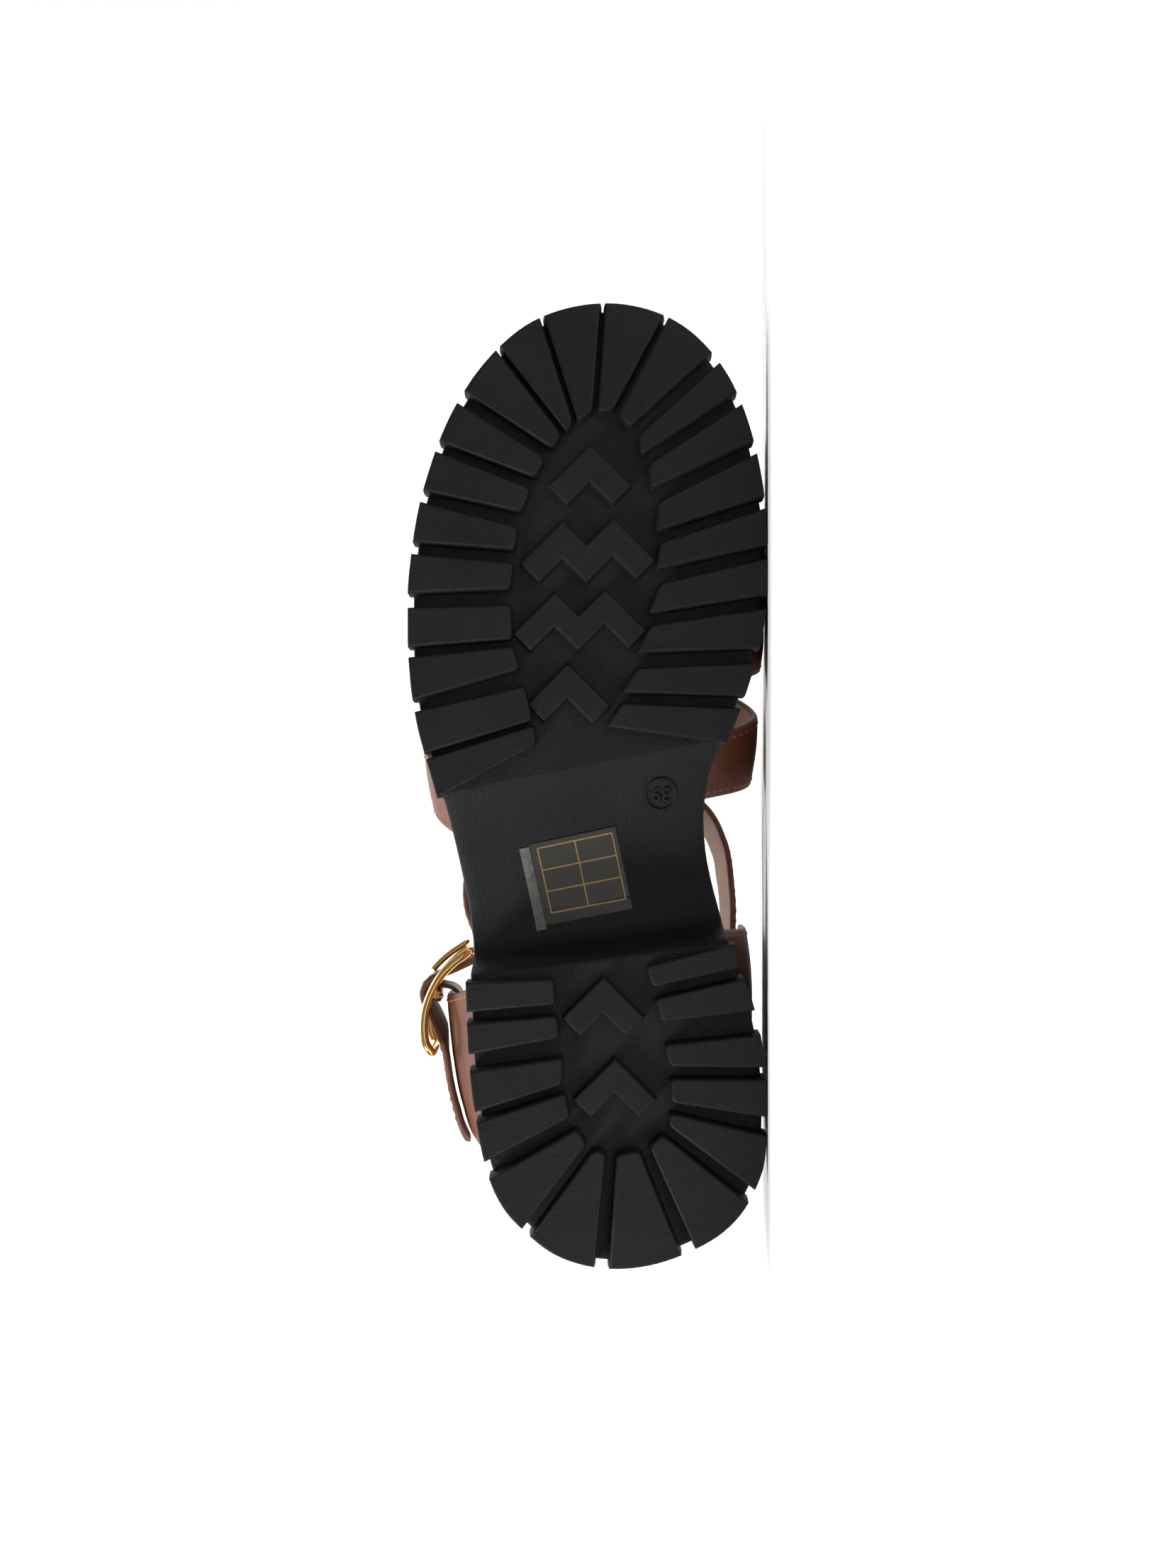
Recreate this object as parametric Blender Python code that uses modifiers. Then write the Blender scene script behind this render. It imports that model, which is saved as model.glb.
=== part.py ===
"""Strappy lug-sole sandal, right shoe, EU 39, lying on its medial side.

Modelled standing: x runs from the heel back to the toe, y to the medial side,
z up from the tread plane, all in millimetres.  Every piece is then carried by
the empty "lay_on_side", which rolls the shoe on its side.
"""
import bpy
import bmesh
import math
from mathutils import Vector, Matrix

for ob in list(bpy.data.objects):
    bpy.data.objects.remove(ob, do_unlink=True)

MM = 0.001

# ------------------------------------------------------------------ sizes, mm
LENGTH = 270.0          # heel back to toe tip
LUG_DEPTH = 5.0         # tread plane to groove floor
LUG_WRAP = 9.0          # how far a lug climbs the side wall
WALL_INSET = 1.2        # side wall behind the lugs' outer faces
TOE_SPRING = 5.0        # rise of the tread at the tip
SPRING_START = 212.0    # x where the toe spring begins
GAP = 0.3               # between neighbouring pieces
LEATHER = 2.2           # wall of instep strap, ankle strap and counter
BAND_WALL = 2.4         # wall of the front band
BASE_INSET = 2.4        # mid wall of the straps inside the sole's outline
FOOTBED_INSET = 4.45
STRAP_LIFT = 0.9        # foot of the straps above the sole, beside the footbed
FOOTBED_THICK = 4.0
STRAP_WIDTH = 18.0      # ankle strap
BUCKLE_WIRE = 1.35      # radius of the buckle's frame
BUCKLE_BAR = 1.3        # radius of its centre bar
PRONG_WIRE = 0.95
TAB_WALL = 1.3

# ------------------------------------------------- sole outline, both sides
# columns: x, reach to the lateral side, reach to the medial side
OUTLINE = [
    (0.0, -7.9, 7.9), (4.1, 9.5, 26.8), (10.0, 17.2, 37.4), (15.9, 22.9, 43.1),
    (21.9, 26.3, 46.5), (29.7, 28.9, 49.1), (41.5, 31.2, 50.0),
    (53.4, 32.8, 49.6), (65.2, 33.6, 48.0), (77.0, 34.0, 45.0),
    (86.0, 34.5, 41.6), (96.7, 35.6, 39.8), (106.5, 37.2, 37.3),
    (116.4, 38.9, 35.3), (126.2, 40.8, 34.5), (136.1, 43.4, 35.4),
    (143.9, 45.7, 37.7), (151.8, 47.7, 41.0), (163.6, 49.5, 45.1),
    (175.4, 50.2, 48.4), (187.3, 50.2, 49.8), (199.0, 49.2, 50.0),
    (210.9, 47.3, 49.5), (222.7, 44.1, 47.9), (234.5, 39.8, 45.1),
    (246.3, 33.5, 40.6), (252.2, 29.3, 37.2), (258.1, 24.0, 32.6),
    (264.0, 16.7, 25.8), (270.0, -5.3, 5.3),
]
# shear of the cross lines of the sole: station x, half shift of its two ends
SHEAR = [(0, 0), (30, 0), (86, 4.9), (112, 6.2), (137.6, 7.4), (170, 3.4),
         (200, 0), (270, 0)]
# underside of the sole body: station x, height
UNDER = [(0, 5.0), (85.4, 5.0), (86.2, 5.9), (88.6, 18.5), (90.4, 22.4),
         (94.0, 24.6), (99.0, 24.9), (106.0, 23.4), (115.0, 19.6),
         (125.0, 13.9), (132.0, 9.4), (136.2, 6.7), (137.6, 6.0),
         (139.0, 5.0), (212, 5.0), (270, 5.0)]
# top of the sole body: x, height
TOP = [(0, 47.2), (40, 47.0), (60, 46.6), (75, 45.0), (90, 41.6),
       (105, 37.0), (120, 32.8), (135, 29.6), (150, 27.8), (170, 27.0),
       (195, 26.8), (212, 27.0), (240, 28.7), (270, 32.0)]

# ------------------------------------------------------------ tread grooves
# columns: outer end x, side, width; inner end x, side, width
# side is measured to the lateral side; the first and last rows are plain ends
FORE_GROOVES = [
    (131.6, 40.6, 0.0, 145.9, 14.4, 0.0),
    (142.8, 44.4, 1.9, 151.9, 15.4, 1.5), (157.0, 46.6, 3.5, 164.5, 18.4, 5.0),
    (171.7, 48.6, 3.0, 174.2, 21.1, 2.2), (186.0, 49.2, 4.2, 186.9, 21.5, 4.6),
    (200.5, 47.9, 3.5, 198.2, 20.6, 3.8), (214.6, 44.6, 3.5, 208.4, 19.1, 4.6),
    (228.2, 40.0, 3.2, 218.6, 15.4, 3.5), (241.8, 33.8, 4.0, 226.9, 11.1, 3.7),
    (256.4, 24.9, 1.6, 232.6, 6.8, 1.8), (264.3, 12.5, 1.4, 235.7, 3.5, 1.6),
    (269.1, -4.1, 1.4, 238.8, -2.0, 1.6), (265.1, -21.4, 1.6, 238.6, -7.7, 1.8),
    (253.5, -35.0, 3.7, 233.1, -12.8, 3.3), (242.1, -41.6, 3.7, 225.1, -15.8, 3.3),
    (228.2, -45.5, 3.7, 215.2, -18.7, 4.2), (213.3, -49.1, 3.5, 203.6, -19.6, 3.3),
    (199.6, -49.9, 4.0, 192.6, -19.6, 4.2), (185.6, -49.3, 4.0, 180.7, -17.2, 3.5),
    (170.6, -47.5, 4.4, 169.3, -13.6, 4.4), (157.7, -41.1, 3.7, 158.9, -9.4, 3.1),
    (146.2, -38.6, 0.0, 150.9, -5.3, 0.0),
]
HEEL_GROOVES = [
    (79.7, 33.6, 0.0, 80.6, 9.7, 0.0),
    (69.9, 33.1, 3.2, 72.0, 9.0, 3.4), (57.4, 32.5, 4.8, 61.5, 7.6, 5.7),
    (42.4, 30.6, 2.9, 50.1, 6.9, 2.7), (27.8, 27.4, 4.8, 40.5, 4.3, 3.8),
    (11.2, 16.4, 3.1, 33.9, -0.5, 2.5), (0.4, -3.8, 4.2, 31.9, -6.5, 3.2),
    (5.0, -27.8, 4.4, 33.4, -15.7, 3.2), (20.5, -45.1, 4.0, 38.6, -21.6, 3.2),
    (39.6, -49.9, 5.3, 44.8, -23.2, 3.1), (54.4, -49.1, 3.4, 54.6, -22.9, 3.6),
    (68.5, -46.8, 7.0, 65.6, -21.1, 6.5), (82.5, -43.4, 3.4, 76.8, -18.6, 3.6),
    (90.4, -40.6, 0.0, 84.1, -16.3, 0.0),
]
CHEVRON_RISE = 3.6
# chevrons in the two hollows: peak x, peak side, arm length towards the
# lateral side, arm towards the medial side, bar width, double or single
CHEVRONS = [
    (229.6, -0.6, 16.2, 16.3, 7.3, 1), (208.1, 7.0, 16.4, 9.4, 7.2, 2),
    (188.3, 9.2, 16.2, 9.3, 6.6, 2), (168.4, 5.7, 15.9, 16.7, 6.6, 1),
    (81.0, -4.3, 16.0, 15.8, 6.9, 1), (58.3, -7.5, 16.1, 16.1, 6.6, 1),
]

# ------------------------------------------------- last: the foot's sections
# columns: x, medial bulge and its height, lateral bulge and its height,
# crown offset to the medial side, crown height (mid wall of the upper)
LAST = [
    (108, 45.0, 66, 42.0, 62, 2, 117), (122, 47.8, 63, 45.5, 58, 3, 108),
    (136, 50.0, 60, 48.4, 54, 5, 98), (150, 51.4, 56, 49.6, 50, 7, 89),
    (165, 51.3, 50, 50.0, 46, 9, 80.5), (182, 52.3, 44, 50.4, 43, 10, 72.5),
    (198, 52.4, 42, 50.0, 42, 10.5, 66), (214, 51.2, 42, 47.6, 41.5, 10, 60.5),
    (230, 48.0, 42, 43.0, 41.5, 9, 56.5), (246, 42.0, 42, 36.0, 41.5, 7, 54),
]
# straps on the last. columns: s (0 medial base, 0.5 crown, 1 lateral base),
# rear edge x, front edge x
FRONT_BAND = [(0.0, 165.0, 236.0), (0.12, 168.5, 238.0), (0.28, 177.0, 236.0),
              (0.5, 188.0, 230.0), (0.72, 178.0, 225.0), (0.88, 164.0, 224.0),
              (1.0, 157.0, 222.0)]
INSTEP_STRAP = [(0.0, 129.5, 148.0), (0.12, 132.5, 154.0), (0.28, 141.0, 164.0),
                (0.5, 155.5, 177.5), (0.72, 140.5, 163.0), (0.88, 125.0, 147.0),
                (1.0, 116.5, 137.0)]

# ------------------------------------------- heel counter, mid wall of its rim
# columns: x, y (medial positive), height of the rim, share of the base loop
RIM = [
    (88.5, 50.3, 92.0, 0.00), (75.0, 52.1, 94.5, 0.08), (60.0, 52.4, 96.5, 0.165),
    (44.0, 50.4, 98.0, 0.255), (28.0, 45.3, 99.5, 0.34), (13.0, 34.0, 101.0, 0.425),
    (4.2, 18.0, 102.0, 0.505), (3.0, 0.5, 102.0, 0.585), (8.0, -19.0, 101.0, 0.67),
    (18.2, -34.6, 99.5, 0.76), (31.0, -40.2, 98.0, 0.835), (46.0, -43.1, 96.5, 0.92),
    (66.5, -45.2, 95.0, 1.00),
]
COUNTER_FRONT_M = 91.0   # where the wings stand on the sole, medial
COUNTER_FRONT_L = 74.0   # and lateral

# ---------------------------------------------------- ankle strap, centre line
# columns: x, y, z, inward lean of the width in degrees
ANKLE_FREE = [
    (86.0, 45.8, 82.9, 6), (94.5, 45.6, 84.4, 8), (104.0, 45.0, 86.8, 10),
    (114.0, 43.3, 90.5, 12),
    (123.5, 38.6, 95.5, 16), (131.5, 29.0, 102.0, 21), (137.0, 15.5, 108.0, 26),
    (138.5, 1.0, 110.5, 28), (136.0, -13.5, 108.5, 26), (129.0, -26.0, 103.0, 20),
    (118.5, -34.2, 96.5, 15), (107.0, -37.8, 92.0, 11), (96.0, -38.6, 89.0, 8),
    (88.5, -36.4, 87.6, 5), (83.2, -34.4, 87.0, 3), (78.9, -35.3, 86.6, 3),
    (75.6, -41.4, 86.5, 3), (73.2, -47.2, 86.4, 3), (70.9, -51.3, 86.3, 3),
    (67.2, -52.9, 86.2, 3), (63.6, -51.9, 86.2, 3), (60.0, -50.0, 86.1, 3),
    (55.0, -47.9, 86.0, 3),
]
STRAP_HEIGHT_M = 82.4    # centre line where the strap lies in the counter
STRAP_HEIGHT_L = 86.0    # and where its tail lies on the counter
STRAP_OFFSET = 3.2       # mid wall of the strap from mid wall of the counter
TAIL_END = 19.5          # x of the tail's tip
ANCHOR_END = 62.0        # x of the strap's sewn end inside the counter

# buckle, side view along its height: x, y of the frame's wire centre
BUCKLE_SIDE = [(81.0, -38.2), (77.4, -43.2), (73.0, -47.4), (67.6, -50.4),
               (62.0, -52.2), (56.4, -52.7), (51.6, -52.0), (48.4, -50.2)]
BUCKLE_HALF = 11.4       # half height of the frame between wire centres
BUCKLE_Z = 86.3
BAR = (67.2, -48.3)      # centre bar, x and y
# prong, from where it leaves the strap to its tip on the front bar: x, y
PRONG = [(74.2, -50.6), (76.8, -48.2), (79.6, -44.9), (82.1, -41.2), (83.7, -38.9)]
# tab folded round the centre bar, past the counter's front edge: x, y
TAB_FREE = [(66.9, -42.0), (68.7, -44.0), (69.35, -46.4)]
TAB_START = 52.0         # x of its sewn end inside the counter
TAB_HEIGHT = 12.0


# ------------------------------------------------------------------ functions
def pchip(xs, ys):
    """Monotone cubic through the rows of a table."""
    n = len(xs)
    h = [xs[i + 1] - xs[i] for i in range(n - 1)]
    d = [(ys[i + 1] - ys[i]) / h[i] for i in range(n - 1)]
    m = [0.0] * n
    for i in range(1, n - 1):
        if d[i - 1] * d[i] > 0:
            w1 = 2 * h[i] + h[i - 1]
            w2 = h[i] + 2 * h[i - 1]
            m[i] = (w1 + w2) / (w1 / d[i - 1] + w2 / d[i])
    m[0] = d[0]
    m[-1] = d[-1]

    def f(x):
        if x <= xs[0]:
            return ys[0]
        if x >= xs[-1]:
            return ys[-1]
        k = 0
        while x > xs[k + 1]:
            k += 1
        t = (x - xs[k]) / h[k]
        a = (1 + 2 * t) * (1 - t) ** 2
        b = t * (1 - t) ** 2
        c = t * t * (3 - 2 * t)
        e = t * t * (t - 1)
        return a * ys[k] + b * h[k] * m[k] + c * ys[k + 1] + e * h[k] * m[k + 1]
    return f


def spline(points, count):
    """Catmull-Rom through points, resampled at equal steps of length."""
    pts = [Vector(p) for p in points]
    dense = []
    for i in range(len(pts) - 1):
        p0 = pts[i - 1] if i > 0 else pts[i] * 2 - pts[i + 1]
        p1, p2 = pts[i], pts[i + 1]
        p3 = pts[i + 2] if i + 2 < len(pts) else pts[i + 1] * 2 - pts[i]
        for k in range(24):
            t = k / 24
            dense.append(0.5 * ((2 * p1) + (p2 - p0) * t
                                + (2 * p0 - 5 * p1 + 4 * p2 - p3) * t * t
                                + (3 * p1 - p0 - 3 * p2 + p3) * t ** 3))
    dense.append(pts[-1])
    return resample(dense, count)


def resample(dense, count):
    lengths = [0.0]
    for a, b in zip(dense, dense[1:]):
        lengths.append(lengths[-1] + (b - a).length)
    out = []
    k = 0
    for i in range(count):
        s = lengths[-1] * i / (count - 1)
        while k < len(dense) - 2 and lengths[k + 1] < s:
            k += 1
        seg = lengths[k + 1] - lengths[k]
        t = (s - lengths[k]) / seg if seg > 0 else 0.0
        out.append(dense[k].lerp(dense[k + 1], min(1.0, t)))
    return out


def phi_of(x):
    return math.acos(max(-1.0, min(1.0, 1 - 2 * x / LENGTH)))


_phis = [phi_of(r[0]) for r in OUTLINE]
_lateral = pchip(_phis, [r[1] for r in OUTLINE])
_medial = pchip(_phis, [r[2] for r in OUTLINE])
shear = pchip([r[0] for r in SHEAR], [r[1] for r in SHEAR])
under = pchip([r[0] for r in UNDER], [r[1] for r in UNDER])
top = pchip([r[0] for r in TOP], [r[1] for r in TOP])


def spring(x):
    t = max(0.0, x - SPRING_START) / (LENGTH - SPRING_START)
    return TOE_SPRING * t * t


def edge(side, x, inset=0.0):
    """Point of the sole outline; side is +1 medial, -1 lateral."""
    f = _medial if side > 0 else _lateral
    p = phi_of(x)

    def at(q):
        q = max(0.0, min(math.pi, q))
        return Vector((LENGTH / 2 * (1 - math.cos(q)), side * f(q), 0))
    here = at(p)
    if inset == 0.0:
        return here
    e = 0.012
    tangent = at(p + e) - at(p - e)
    if p < 1e-6 or p > math.pi - 1e-6:
        tangent = Vector((0, side if p < 1 else -side, 0))
    tangent.normalize()
    normal = Vector((tangent.y, -tangent.x, 0)) * side
    if p < 1e-6:
        normal = Vector((1, 0, 0))
    elif p > math.pi - 1e-6:
        normal = Vector((-1, 0, 0))
    return here + normal * inset


def stations(low, high, fine):
    """Cross lines of the sole, closer together at its ends and at its steps."""
    marks = [85.4, 86.2, 88.6, 90.4, 94.0, 136.2, 137.6, 139.0]
    n = fine
    xs = []
    for i in range(n + 1):
        x = LENGTH / 2 * (1 - math.cos(math.pi * i / n))
        if all(abs(x - m) > 2.2 for m in marks):
            xs.append(x)
    return sorted(xs + marks)


def cross_line(station, inset):
    """Lateral and medial ends of one sheared cross line."""
    k = shear(station)
    return edge(-1, station - k, inset), edge(1, station + k, inset)


def new_object(name, mesh, colour, rough, metal, parent, coll):
    ob = bpy.data.objects.new(name, mesh)
    coll.objects.link(ob)
    mat = bpy.data.materials.new(name + "_material")
    mat.use_nodes = True
    bsdf = mat.node_tree.nodes["Principled BSDF"]
    bsdf.inputs["Base Color"].default_value = (*colour, 1)
    bsdf.inputs["Roughness"].default_value = rough
    bsdf.inputs["Metallic"].default_value = metal
    mesh.materials.append(mat)
    ob.parent = parent
    return ob


def mesh_from(name, verts, faces):
    mesh = bpy.data.meshes.new(name)
    bm = bmesh.new()
    vs = [bm.verts.new(Vector(v) * MM) for v in verts]
    for f in faces:
        loop = []
        for i in f:
            if not loop or vs[i] is not loop[-1]:
                loop.append(vs[i])
        if loop[0] is loop[-1]:
            loop.pop()
        if len(loop) > 2:
            bm.faces.new(loop)
    bmesh.ops.remove_doubles(bm, verts=bm.verts, dist=0.00001)
    bmesh.ops.recalc_face_normals(bm, faces=bm.faces)
    bm.to_mesh(mesh)
    bm.free()
    return mesh


def plate(name, insets, bottom, upper, fine, columns):
    """A slab over the sole outline: rings of (inset, height function)."""
    xs = stations(0, LENGTH, fine)
    verts, index = [], {}

    def add(key, p):
        if key not in index:
            index[key] = len(verts)
            verts.append(p)
        return index[key]

    n = len(xs) - 1

    def grid(ring, inset, height):
        for i, s in enumerate(xs):
            a, b = cross_line(s, inset)
            for j in range(columns + 1):
                t = j / columns
                p = a.lerp(b, t)
                p.z = height(s, p.x)
                jj = 0 if i in (0, n) else j
                add((ring, i, jj), p)

    def ref(ring, i, j):
        return index[(ring, i, 0 if i in (0, n) else j)]

    rings = len(insets)
    for r, (inset, height) in enumerate(insets):
        grid(r, inset, height)
    faces = []
    for i in range(n):
        for j in range(columns):
            faces.append([ref(0, i, j), ref(0, i + 1, j), ref(0, i + 1, j + 1), ref(0, i, j + 1)])
            faces.append([ref(rings - 1, i, j), ref(rings - 1, i, j + 1),
                          ref(rings - 1, i + 1, j + 1), ref(rings - 1, i + 1, j)])
        for r in range(rings - 1):
            for j in (0, columns):
                faces.append([ref(r, i, j), ref(r, i + 1, j), ref(r + 1, i + 1, j), ref(r + 1, i, j)])
    used = sorted({i for f in faces for i in f})
    remap = {o: k for k, o in enumerate(used)}
    return mesh_from(name, [verts[i] for i in used], [[remap[i] for i in f] for f in faces])


def outline_loop(count):
    """Closed loop of the outline, lateral side heel to toe, then back."""
    left = [edge(-1, LENGTH / 2 * (1 - math.cos(math.pi * i / count))) for i in range(count + 1)]
    right = [edge(1, LENGTH / 2 * (1 - math.cos(math.pi * i / count))) for i in range(count, 0, -1)]
    return left + right


LOOP = outline_loop(160)
LOOP_N = len(LOOP)


def hit(origin, direction):
    """Where a ray leaves the outline: loop place as index plus fraction."""
    best = None
    for i in range(LOOP_N):
        a, b = LOOP[i], LOOP[(i + 1) % LOOP_N]
        e = b - a
        det = direction.x * (-e.y) + direction.y * e.x
        if abs(det) < 1e-12:
            continue
        w = a - origin
        t = (w.x * (-e.y) + w.y * e.x) / det
        u = (direction.x * w.y - direction.y * w.x) / det
        if t > 0 and -1e-9 <= u <= 1 + 1e-9 and (best is None or t < best[0]):
            best = (t, i + u)
    return best[1]


def loop_point(place):
    i = int(math.floor(place))
    return LOOP[i % LOOP_N].lerp(LOOP[(i + 1) % LOOP_N], place - i)


def loop_normal(place):
    t = loop_point(place + 0.5) - loop_point(place - 0.5)
    t.normalize()
    n = Vector((t.y, -t.x, 0))
    inside = Vector((130, 0, 0)) - loop_point(place)
    centre = loop_point(place)
    inside = Vector((min(max(centre.x, 40), 225), 4, 0)) - centre
    return n if n.dot(inside) > 0 else -n


def groove_sides(row):
    ox, ov, ow, ix, iv, iw = row
    o, i = Vector((ox, -ov, 0)), Vector((ix, -iv, 0))
    d = (o - i).normalized()
    n = Vector((-d.y, d.x, 0))
    return o, i, n, ow / 2, iw / 2


def lug_shapes(table, step):
    """One outline per lug: inner ends, outer points and their inward normals."""
    shapes = []
    for a, b in zip(table, table[1:]):
        oa, ia, na, woa, wia = groove_sides(a)
        ob_, ib, nb, wob, wib = groove_sides(b)
        if na.dot(ob_ - oa) < 0:
            na = -na
        if nb.dot(oa - ob_) < 0:
            nb = -nb
        a_in, a_out = ia + na * wia, oa + na * woa
        b_in, b_out = ib + nb * wib, ob_ + nb * wob
        pa = hit(a_in, (a_out - a_in).normalized())
        pb = hit(b_in, (b_out - b_in).normalized())
        if abs(pb - pa) > LOOP_N / 2:
            if pa < pb:
                pa += LOOP_N
            else:
                pb += LOOP_N
        span = (loop_point(pa) - loop_point(pb)).length
        n = max(1, round(span / step))
        outer = [pa + (pb - pa) * k / n for k in range(n + 1)]
        shapes.append((a_in, b_in, [(loop_point(p), loop_normal(p)) for p in outer]))
    return shapes


def lug_block(shape):
    """Vertices and faces of one lug, from the tread up into the sole body."""
    a_in, b_in, outer = shape
    ring0, ring1, ring2 = [], [], []
    for p, n in outer:
        z = spring(p.x)
        ring0.append((p.x, p.y, z))
        ring1.append((p.x, p.y, z + LUG_WRAP))
        q = p + n * (WALL_INSET + 0.8)
        ring2.append((q.x, q.y, z + LUG_WRAP + 2.0))
    for p in (b_in, a_in):
        z = spring(p.x)
        ring0.append((p.x, p.y, z))
        ring1.append((p.x, p.y, z + LUG_WRAP))
        ring2.append((p.x, p.y, z + LUG_WRAP + 2.0))
    n = len(ring0)
    verts = ring0 + ring1 + ring2
    faces = [list(range(n)), list(range(3 * n - 1, 2 * n - 1, -1))]
    for k in range(n):
        j = (k + 1) % n
        faces.append([k, j, n + j, n + k])
        faces.append([n + k, n + j, 2 * n + j, 2 * n + k])
    return verts, faces


def chevron_outline(row):
    """A zigzag bar of arms at 45 degrees, one peak or two."""
    px, pv, arm_l, arm_m, width, peaks = row
    c = math.sqrt(0.5)
    back_l = Vector((-c, -c, 0))    # from a peak towards heel and lateral side
    back_m = Vector((-c, c, 0))
    peak = Vector((px, -pv, 0))
    side = width
    inner_drop = Vector((-side * math.sqrt(2), 0, 0))
    if peaks == 1:
        l_end = peak + back_l * arm_l
        m_end = peak + back_m * arm_m
        return [l_end, peak, m_end, m_end + back_l * side, peak + inner_drop, l_end + back_m * side]
    l_end = peak + back_l * arm_l
    valley = peak + back_m * arm_m
    peak2 = valley - back_l * arm_m * 1.12
    m_end = peak2 + back_m * arm_l
    return [l_end, peak, valley, peak2, m_end, m_end + back_l * side,
            peak2 + inner_drop, valley + inner_drop, peak + inner_drop, l_end + back_m * side]


def prism(points, z0, z1):
    n = len(points)
    verts = [(p.x, p.y, z0 + spring(p.x)) for p in points] + [(p.x, p.y, z1 + spring(p.x)) for p in points]
    faces = [list(range(n)), list(range(2 * n - 1, n - 1, -1))]
    for k in range(n):
        j = (k + 1) % n
        faces.append([k, j, n + j, n + k])
    return verts, faces


_lx = [r[0] for r in LAST]
_last = [pchip(_lx, [r[k] for r in LAST]) for k in range(1, 7)]


def last_section(x):
    """Half sections of the upper's mid wall at x: medial and lateral."""
    ym, zm, yl, zl, yc, zc = [f(x) for f in _last]
    halves = []
    for side, yb, zb in ((1, ym, zm), (-1, yl, zl)):
        base = edge(side, x, BASE_INSET)
        slope = (edge(side, x + 1).y - edge(side, x - 1).y) / 2
        y0 = side * edge(side, x).y - BASE_INSET * math.sqrt(1 + slope * slope)
        z0 = top(x) + STRAP_LIFT
        crown = side * yc
        pts = []
        for k in range(17):
            t = k / 16
            pts.append(Vector((x, side * (y0 + (yb - y0) * math.sin(math.pi / 2 * t) ** 2), z0 + (zb - z0) * t)))
        for k in range(1, 29):
            a = math.pi / 2 * k / 28
            pts.append(Vector((x, side * (crown + (yb - crown) * math.cos(a) ** 0.92),
                               zb + (zc - zb) * math.sin(a) ** 0.92)))
        halves.append(pts)
    return halves


def last_point(x, s):
    medial, lateral = last_section(x)
    pts = medial if s <= 0.5 else lateral
    share = s * 2 if s <= 0.5 else (1 - s) * 2
    lengths = [0.0]
    for a, b in zip(pts, pts[1:]):
        lengths.append(lengths[-1] + (b - a).length)
    want = lengths[-1] * share
    for k in range(len(pts) - 1):
        if lengths[k + 1] >= want - 1e-9:
            seg = lengths[k + 1] - lengths[k]
            t = (want - lengths[k]) / seg if seg else 0
            return pts[k].lerp(pts[k + 1], t)
    return pts[-1]


def strap_surface(table, along, across):
    """Grid of points of a strap's mid wall on the last."""
    ss = [r[0] for r in table]
    rear = pchip(ss, [r[1] for r in table])
    front = pchip(ss, [r[2] for r in table])
    rows = []
    for i in range(along + 1):
        s = i / along
        rows.append([last_point(rear(s) + (front(s) - rear(s)) * j / across, s) for j in range(across + 1)])
    return rows


def sheet(name, rows):
    """Open mesh over a grid of points."""
    m = len(rows[0])
    verts = [p for row in rows for p in row]
    faces = []
    for i in range(len(rows) - 1):
        for j in range(m - 1):
            faces.append([i * m + j, (i + 1) * m + j, (i + 1) * m + j + 1, i * m + j + 1])
    return mesh_from(name, verts, faces)


def thicken(ob, wall):
    mod = ob.modifiers.new("wall", "SOLIDIFY")
    mod.thickness = wall * MM
    mod.offset = 0.0
    mod.use_even_offset = True
    mod.use_quality_normals = True
    return mod


# heel counter
def heel_loop(inset):
    pts = []
    for i in range(61):
        x = COUNTER_FRONT_M * (1 - i / 60)
        pts.append(edge(1, COUNTER_FRONT_M * (1 - math.sin(math.pi / 2 * i / 60)), inset))
    for i in range(1, 61):
        pts.append(edge(-1, COUNTER_FRONT_L * (1 - math.cos(math.pi / 2 * i / 60)), inset))
    return pts


_base = resample(heel_loop(BASE_INSET), 241)
_rim_c = [r[3] for r in RIM]
_rim = [pchip(_rim_c, [r[k] for r in RIM]) for k in range(3)]
_rim_dense = spline([(r[0], r[1], r[2]) for r in RIM], 241)


def rim_point(c):
    """Rim by its share of the loop, through the table's rows."""
    k = 0
    while k < len(RIM) - 2 and c > RIM[k + 1][3]:
        k += 1
    t = (c - RIM[k][3]) / (RIM[k + 1][3] - RIM[k][3])
    p = [Vector(RIM[max(0, min(len(RIM) - 1, k + d))][:3]) for d in (-1, 0, 1, 2)]
    if k == 0:
        p[0] = p[1] * 2 - p[2]
    if k + 2 > len(RIM) - 1:
        p[3] = p[2] * 2 - p[1]
    return 0.5 * ((2 * p[1]) + (p[2] - p[0]) * t + (2 * p[0] - 5 * p[1] + 4 * p[2] - p[3]) * t * t
                  + (3 * p[1] - p[0] - 3 * p[2] + p[3]) * t ** 3)


def counter_point(c, h):
    """Mid wall of the counter: c along the loop, h from sole (0) to rim (1)."""
    f = c * 240
    k = min(239, int(f))
    base = _base[k].lerp(_base[k + 1], f - k)
    base.z = top(base.x) + STRAP_LIFT
    rim = rim_point(c)
    flare = math.sin(math.pi / 2 * min(1.0, h * 1.15)) ** 1.25
    p = base.lerp(rim, flare)
    p.z = base.z + (rim.z - base.z) * h
    # the closed heel swells a little behind and comes in again at the rim
    back = math.exp(-((c - 0.55) / 0.2) ** 2)
    out = Vector((rim.x - 55, rim.y - 4, 0)).normalized()
    p += out * back * (2.6 * math.sin(math.pi * h) - 0.0)
    return p


def counter_at(c, z):
    lo, hi = 0.0, 1.0
    for _ in range(30):
        mid = (lo + hi) / 2
        if counter_point(c, mid).z < z:
            lo = mid
        else:
            hi = mid
    return counter_point(c, (lo + hi) / 2)


def counter_normal(c, z):
    dc = 0.004
    a, b = counter_at(min(1, c + dc), z), counter_at(max(0, c - dc), z)
    u, v = counter_at(c, z + 3), counter_at(c, z - 3)
    n = (a - b).cross(u - v).normalized()
    out = Vector((a.x - 50, a.y - 4, 0))
    return n if n.dot(out) > 0 else -n


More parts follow.
